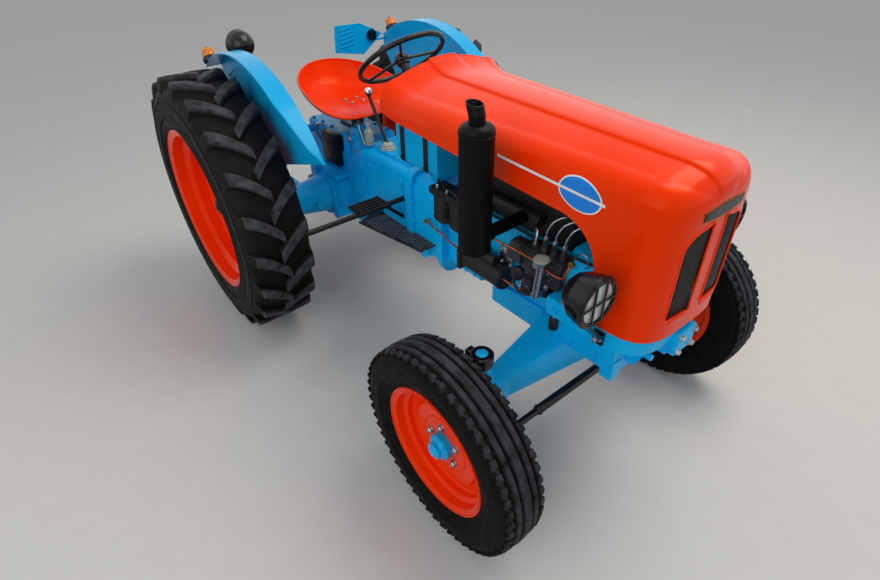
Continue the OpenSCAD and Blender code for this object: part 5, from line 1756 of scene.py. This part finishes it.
@dataclass
class Bodywork:
    """Fender edges, beads and bolts, tank straps, tail panel and dash dial."""

    fender_y: float = 446.0
    radius: float = FENDER_R
    centre_x: float = FENDER_X
    centre_z: float = FENDER_Z
    bead_in: float = 70.0
    dash_x: float = 872.0
    dial_z: float = 1186.0
    switch_y: float = 120.0
    tell_y: float = 60.0
    tell_z: float = 1180.0

    def build(self, nodes: CadNodes) -> None:
        """Builds the body's trim and finishes its nodes.

        Args:
            nodes: the frame's nodes by name.
        """
        for side in Side:
            self.build_fender(side)
        self.build_tank()
        self.build_dash()
        dress(nodes, ENAMEL_BLUE, "fender_right", "fender_left", "fuel_tank", "plate_panel")
        dress(nodes, SATIN_BLACK, "dash_panel")

    def outer(self, x: float) -> float:
        """The outer edge of a fender's band, which widens from the back and tapers off at the front.

        Args:
            x: the place along X.

        Returns:
            Its distance from the machine's middle.
        """
        # Places along X, and the band's width there
        knots = [(-215, 73.3), (420, 78), (500, 78), (560, 67), (610, 54.6), (650, 39), (688, 8)]
        for (xa, wa), (xb, wb) in zip(knots, knots[1:]):
            if x <= xb:
                return self.fender_y + wa + (wb - wa) * (x - xa) / (xb - xa)
        return self.fender_y + knots[-1][1]

    def build_fender(self, side: Side) -> None:
        """Rolls a fender's edges and adds its pressed bead and bolts.

        Args:
            side: the machine's side.
        """
        edge = Piece()
        turns = [math.radians(d) for d in range(122, 31, -3)]
        rim = []
        for a in turns:
            x = self.centre_x + (self.radius - 3) * math.cos(a)
            if -213 <= x <= 686:
                rim.append((x, -self.outer(x) + 2.0, self.centre_z + (self.radius - 3) * math.sin(a)))
        edge.pipe(rim, 4.2)
        inner = self.radius - self.bead_in
        bead = [(self.centre_x + inner * math.cos(a), -self.fender_y - 3.6,
                 self.centre_z + inner * math.sin(a)) for a in turns[1:-4]]
        edge.pipe(bead, 5.0)
        edge.finish(f"fender_edges_{side.word}", "chassis", ENAMEL_BLUE, Slot.BLUE, side, sharp=60)
        bolts = Piece()
        for x, z in ((110, 748), (190, 748), (110, 708), (190, 708)):
            bolts.bolt((x, -self.fender_y - 4, z), RIGHT, 15, 8)
        bolts.finish(f"fender_bolts_{side.word}", "chassis", ZINC_STEEL, Slot.STEEL, side)

    def build_tank(self) -> None:
        """Adds the tank's straps with their screws and the tail panel's rolled edge and screws."""
        straps = Piece()
        for x in (900, 1035):
            for s in (-1, 1):
                straps.block((x + 1, s * 241 - 2.5, 990), (x + 23, s * 241 + 2.5, 1120), 1.5)
                straps.bolt((x + 12, s * 243, 1006), (0, s, 0), 13, 8)
        straps.finish("tank_straps", "chassis", SATIN_BLACK, Slot.BLACK)
        screws = Piece()
        for y, z in ((164, 1226), (290, 1222), (404, 1170), (160, 1126), (296, 1098)):
            screws.bolt((-205, y, z), BACK, 9, 5)
        screws.finish("panel_screws", "chassis", ZINC_STEEL, Slot.STEEL)
        frame_bar = Piece()
        frame_bar.pipe([(-204, 150, 1238), (-204, 296, 1234), (-204, 426, 1170), (-204, 378, 1136),
                        (-204, 305, 1085), (-204, 140, 1116)], 3.2, smooth=False, closed=True)
        frame_bar.finish("panel_edge", "chassis", ENAMEL_BLUE, Slot.BLUE, sharp=60)

    def build_dash(self) -> None:
        """Builds the dial with its plain scale, the switch and two tell-tales."""
        face = self.dash_x
        rim = Piece()
        rim.turned([(20, 3), (24, 5), (28, 3), (28.5, 0), (20, 0)], (face, 0, self.dial_z), BACK)
        for y in (-self.tell_y, self.tell_y):
            rim.turned([(6, 4), (8, 5), (10, 3), (10, 0)], (face, y, self.tell_z), BACK, 28)
        rim.finish("dial_rim", "chassis", CHROME, Slot.STEEL)
        dial = Piece()
        dial.turned([(0, 0.6), (23, 0.6), (23.4, -3)], (face + 1, 0, self.dial_z), BACK)
        dial.turned([(0, 9), (9, 8), (11, 4), (11, 0)], (face, -self.switch_y, self.tell_z), BACK, 28)
        dial.block((face - 20, -self.switch_y - 2, 1170), (face - 8, -self.switch_y + 2, 1194), 1.5)
        dial.finish("dial_face", "chassis", PHENOLIC, Slot.PLASTIC)
        marks = Piece()
        for i in range(9):
            a = math.radians(-120 + 30 * i)
            place = Matrix.Translation((face, 0, self.dial_z)) @ Matrix.Rotation(a, 4, "X")
            marks.block((-0.6, -0.6, 15), (0.2, 0.6, 20), 0.2, place)
        needle = Matrix.Translation((871.6, 0, self.dial_z)) @ Matrix.Rotation(math.radians(-55), 4, "X")
        marks.block((-0.6, -0.8, -4), (0.2, 0.8, 16), 0.3, needle)
        marks.finish("dial_marks", "chassis", WHITE_PAINT, Slot.STEEL)
        lights = Piece()
        for y in (-self.tell_y, self.tell_y):
            lights.turned([(0, 6), (4, 5.4), (6.6, 3), (6.6, 0)], (face, y, self.tell_z), BACK, 24)
        lights.finish("tell_tales", "chassis", RED_PLASTIC, Slot.AMBER)


@dataclass
class DrivingPlace:
    """The pressed pan seat and the steering wheel's trim."""

    front: float = 444.0
    depth: float = 559.0
    width: float = 512.0
    floor: float = 989.5
    front_h: float = 13.0
    back_h: float = 116.0
    rise: float = 1.15
    waist: float = 0.3
    sheet: float = 4.0
    hub: tuple[float, float, float] = (590.0, 0.0, 1246.0)
    tilt: float = 38.0

    def rim_z(self, x: float) -> float:
        """Height of the seat's rim at a place along X."""
        back = max(0.0, (self.front - x) / self.depth)
        return self.floor + self.front_h + self.back_h * back ** self.rise

    def build(self, nodes: CadNodes) -> None:
        """Builds the seat and the steering wheel's trim.

        Args:
            nodes: the frame's nodes by name.
        """
        self.build_seat()
        axis = Vector((-math.sin(math.radians(self.tilt)), 0, math.cos(math.radians(self.tilt))))
        hub = Piece()
        centre = Vector(self.hub)
        hub.turned([(0, 22), (14, 21), (20, 17), (24, 10), (30, 4), (32, -6), (27, -16), (20, -21)],
                   centre, axis)
        hub.finish("wheel_hub", "steering_wheel_body", PHENOLIC, Slot.PLASTIC)
        cap = Piece()
        cap.turned([(0, 3.4), (6, 3.0), (10, 1.8), (11.5, 0)], centre + axis * 21, axis, 32)
        cap.finish("wheel_cap", "steering_wheel_body", PALE_RUBBER, Slot.PLASTIC)
        dress(nodes, PHENOLIC, "steering_wheel")

    def build_seat(self) -> None:
        """Presses the seat from one sheet: a dished grid with ribs and a rolled rim."""
        middle = self.front - self.depth / 2

        def ring(share: float, lift: float, angle: float) -> Vector:
            """A point of one of the seat's rings, squarer at the front and narrower at the back.

            Args:
                share: the ring's size as a share of the rim's.
                lift: its height as a share of the rim's.
                angle: how far round the ring the point lies.

            Returns:
                The point.
            """
            power = 0.66 - 0.2 * math.cos(angle)
            x = middle + self.depth / 2 * share * squared(math.cos(angle), power)
            half = self.width / 2 * (1 - self.waist * ((self.front - x) / self.depth) ** 2)
            y = half * share * squared(math.sin(angle), power)
            return Vector((x, y, self.floor + (self.rim_z(x) - self.floor) * lift))

        part = bmesh.new()
        bmesh.ops.create_circle(part, cap_ends=True, cap_tris=False, segments=96, radius=1.0)
        # Each ring's share of the rim's size and of its height
        levels = [(0.985, 1.0), (0.965, 0.8), (0.93, 0.52), (0.88, 0.31), (0.82, 0.17), (0.74, 0.085),
                  (0.64, 0.035), (0.52, 0.012), (0.4, 0.0), (0.26, 0.0), (0.12, 0.0)]
        face = part.faces[:][0]
        rings = [list(face.verts)]
        for _ in levels[1:]:
            bmesh.ops.inset_individual(part, faces=[face], thickness=0.05)
            rings.append(list(face.verts))
        for verts, (share, lift) in zip(rings, levels):
            for i, vert in enumerate(verts):
                vert.co = ring(share, lift, math.tau * i / len(verts))
                self.press(vert)
        bmesh.ops.poke(part, faces=[face])
        bmesh.ops.recalc_face_normals(part, faces=part.faces)
        if sum(f.normal.z for f in part.faces) < 0:
            bmesh.ops.reverse_faces(part, faces=part.faces)
        bmesh.ops.solidify(part, geom=list(part.faces), thickness=self.sheet)
        seat = Piece().absorb(part)
        rim = [ring(0.992, 1.0, math.tau * i / 64) for i in range(64)]
        seat.pipe(rim, 5.2, closed=True)
        seat.finish("seat_shell", "chassis", ENAMEL_ORANGE, Slot.ORANGE, replaces=["seat_pan"], sharp=50)
        bolts = Piece()
        for x in (150, 210):
            for y in (-30, 30):
                bolts.bolt((x, y, self.floor + 2), UP, 12, 5)
        bolts.finish("seat_bolts", "chassis", ZINC_STEEL, Slot.STEEL)

    def press(self, vert: bmesh.types.BMVert) -> None:
        """Raises the seat's pressed ribs at a vertex.

        Args:
            vert: a vertex of the seat's sheet.
        """
        x, y = vert.co.x, abs(vert.co.y)
        # Each rib's distance from the middle, its own middle along X, half length, half width and height
        for line, centre, reach, wide, tall in ((78.0, 175.0, 130.0, 16.0, 6.0),
                                                (0.0, 320.0, 90.0, 34.0, 9.0)):
            near = math.exp(-((y - line) / wide) ** 2)
            along = 1 / (1 + math.exp((abs(x - centre) - reach) / 14.0))
            vert.co.z += tall * near * along


# ---------------- studio


@dataclass(frozen=True)
class SoftLamp:
    """A round soft lamp of the studio, placed in metres in the frame."""

    name: str
    place: tuple[float, float, float]
    size: float
    power: float
    tint: str


@dataclass
class Studio:
    """The floor, the lights and the camera, placed in metres in the frame."""

    lamps: tuple[SoftLamp, ...] = (SoftLamp("key", (1.2, 1.6, 4.4), 3.0, 105.0, "#fff3e6"),
                                   SoftLamp("fill", (1.8, -4.0, 2.8), 3.6, 50.0, "#ffffff"))
    aim: tuple[float, float, float] = (0.1, 0.0, 0.6)
    sky: float = 0.5
    floor_half: float = 40.0
    place: tuple[float, float, float] = (1.7799, -1.2973, 1.7823)
    yaw: float = 142.046
    pitch: float = 36.478
    roll: float = -1.423
    lens: float = 22.13
    sensor: float = 36.0
    far: float = 200.0

    def build(self) -> None:
        """Builds the studio."""
        self.build_floor()
        self.build_lights()
        self.build_camera()

    def build_floor(self) -> None:
        """Lays a pale floor under the tyres."""
        part = bmesh.new()
        bmesh.ops.create_grid(part, x_segments=8, y_segments=8, size=self.floor_half)
        mesh = bpy.data.meshes.new("studio_floor")
        part.to_mesh(mesh)
        part.free()
        mesh.materials.append(FLOOR.material())
        floor = bpy.data.objects.new("studio_floor", mesh)
        bpy.context.collection.objects.link(floor)

    def build_lights(self) -> None:
        """Hangs the soft lamps and lights the rest from a plain sky, which is seen as white."""
        world = bpy.data.worlds.new("plain_sky")
        bpy.context.scene.world = world
        world.use_nodes = True
        tree = world.node_tree
        tree.nodes.clear()
        path = add_node(tree, "ShaderNodeLightPath")
        seen = add_node(tree, "ShaderNodeMath", {"operation": "MAXIMUM"}, {
            0: path.outputs["Is Camera Ray"], 1: path.outputs["Is Glossy Ray"]})
        seen = add_node(tree, "ShaderNodeMath", {"operation": "MAXIMUM"}, {
            0: seen.outputs[0], 1: path.outputs["Is Transmission Ray"]})
        soft = add_node(tree, "ShaderNodeBackground", None, {
            "Color": linear("#f4f7fb"), "Strength": self.sky})
        white = add_node(tree, "ShaderNodeBackground", None, {"Color": linear("#ffffff"), "Strength": 1.0})
        both = add_node(tree, "ShaderNodeMixShader", None, {
            0: seen.outputs[0], 1: soft.outputs[0], 2: white.outputs[0]})
        add_node(tree, "ShaderNodeOutputWorld", None, {"Surface": both.outputs[0]})
        for soft_lamp in self.lamps:
            lamp = bpy.data.lights.new(soft_lamp.name, "AREA")
            lamp.color = linear(soft_lamp.tint)[:3]
            lamp.shape = "DISK"
            lamp.size = soft_lamp.size
            lamp.energy = soft_lamp.power
            holder = bpy.data.objects.new(soft_lamp.name, lamp)
            holder.location = soft_lamp.place
            way = Vector(self.aim) - Vector(soft_lamp.place)
            holder.rotation_euler = way.to_track_quat("-Z", "Y").to_euler()
            bpy.context.collection.objects.link(holder)

    def build_camera(self) -> None:
        """Places the camera as the photographer stood."""
        yaw, pitch, roll = (math.radians(a) for a in (self.yaw, self.pitch, self.roll))
        forward = Vector((math.cos(yaw) * math.cos(pitch), math.sin(yaw) * math.cos(pitch),
                          -math.sin(pitch)))
        right = forward.cross(Vector(UP)).normalized()
        up = right.cross(forward)
        right, up = (right * math.cos(roll) + up * math.sin(roll),
                     up * math.cos(roll) - right * math.sin(roll))
        data = bpy.data.cameras.new("photo_camera")
        data.lens = self.lens
        data.sensor_width = self.sensor
        data.clip_end = self.far
        camera = bpy.data.objects.new("photo_camera", data)
        camera.matrix_world = Matrix.Translation(self.place) @ Matrix(
            (right, up, -forward)).transposed().to_4x4()
        bpy.context.collection.objects.link(camera)
        bpy.context.scene.camera = camera
        bpy.context.scene.view_settings.view_transform = "Standard"


def main() -> None:
    """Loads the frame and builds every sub-assembly."""
    logging.basicConfig(level=logging.INFO, format="%(name)s: %(message)s")
    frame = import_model()
    Studio().build()
    for assembly in (Bonnet(), RearWheels(), FrontWheels(), FrontAxle(), Lamps(), Engine(), Transmission(),
                     Bodywork(), DrivingPlace()):
        assembly.build(frame["nodes"])
        LOG.info("%s built", type(assembly).__name__)


if __name__ == "__main__":
    main()
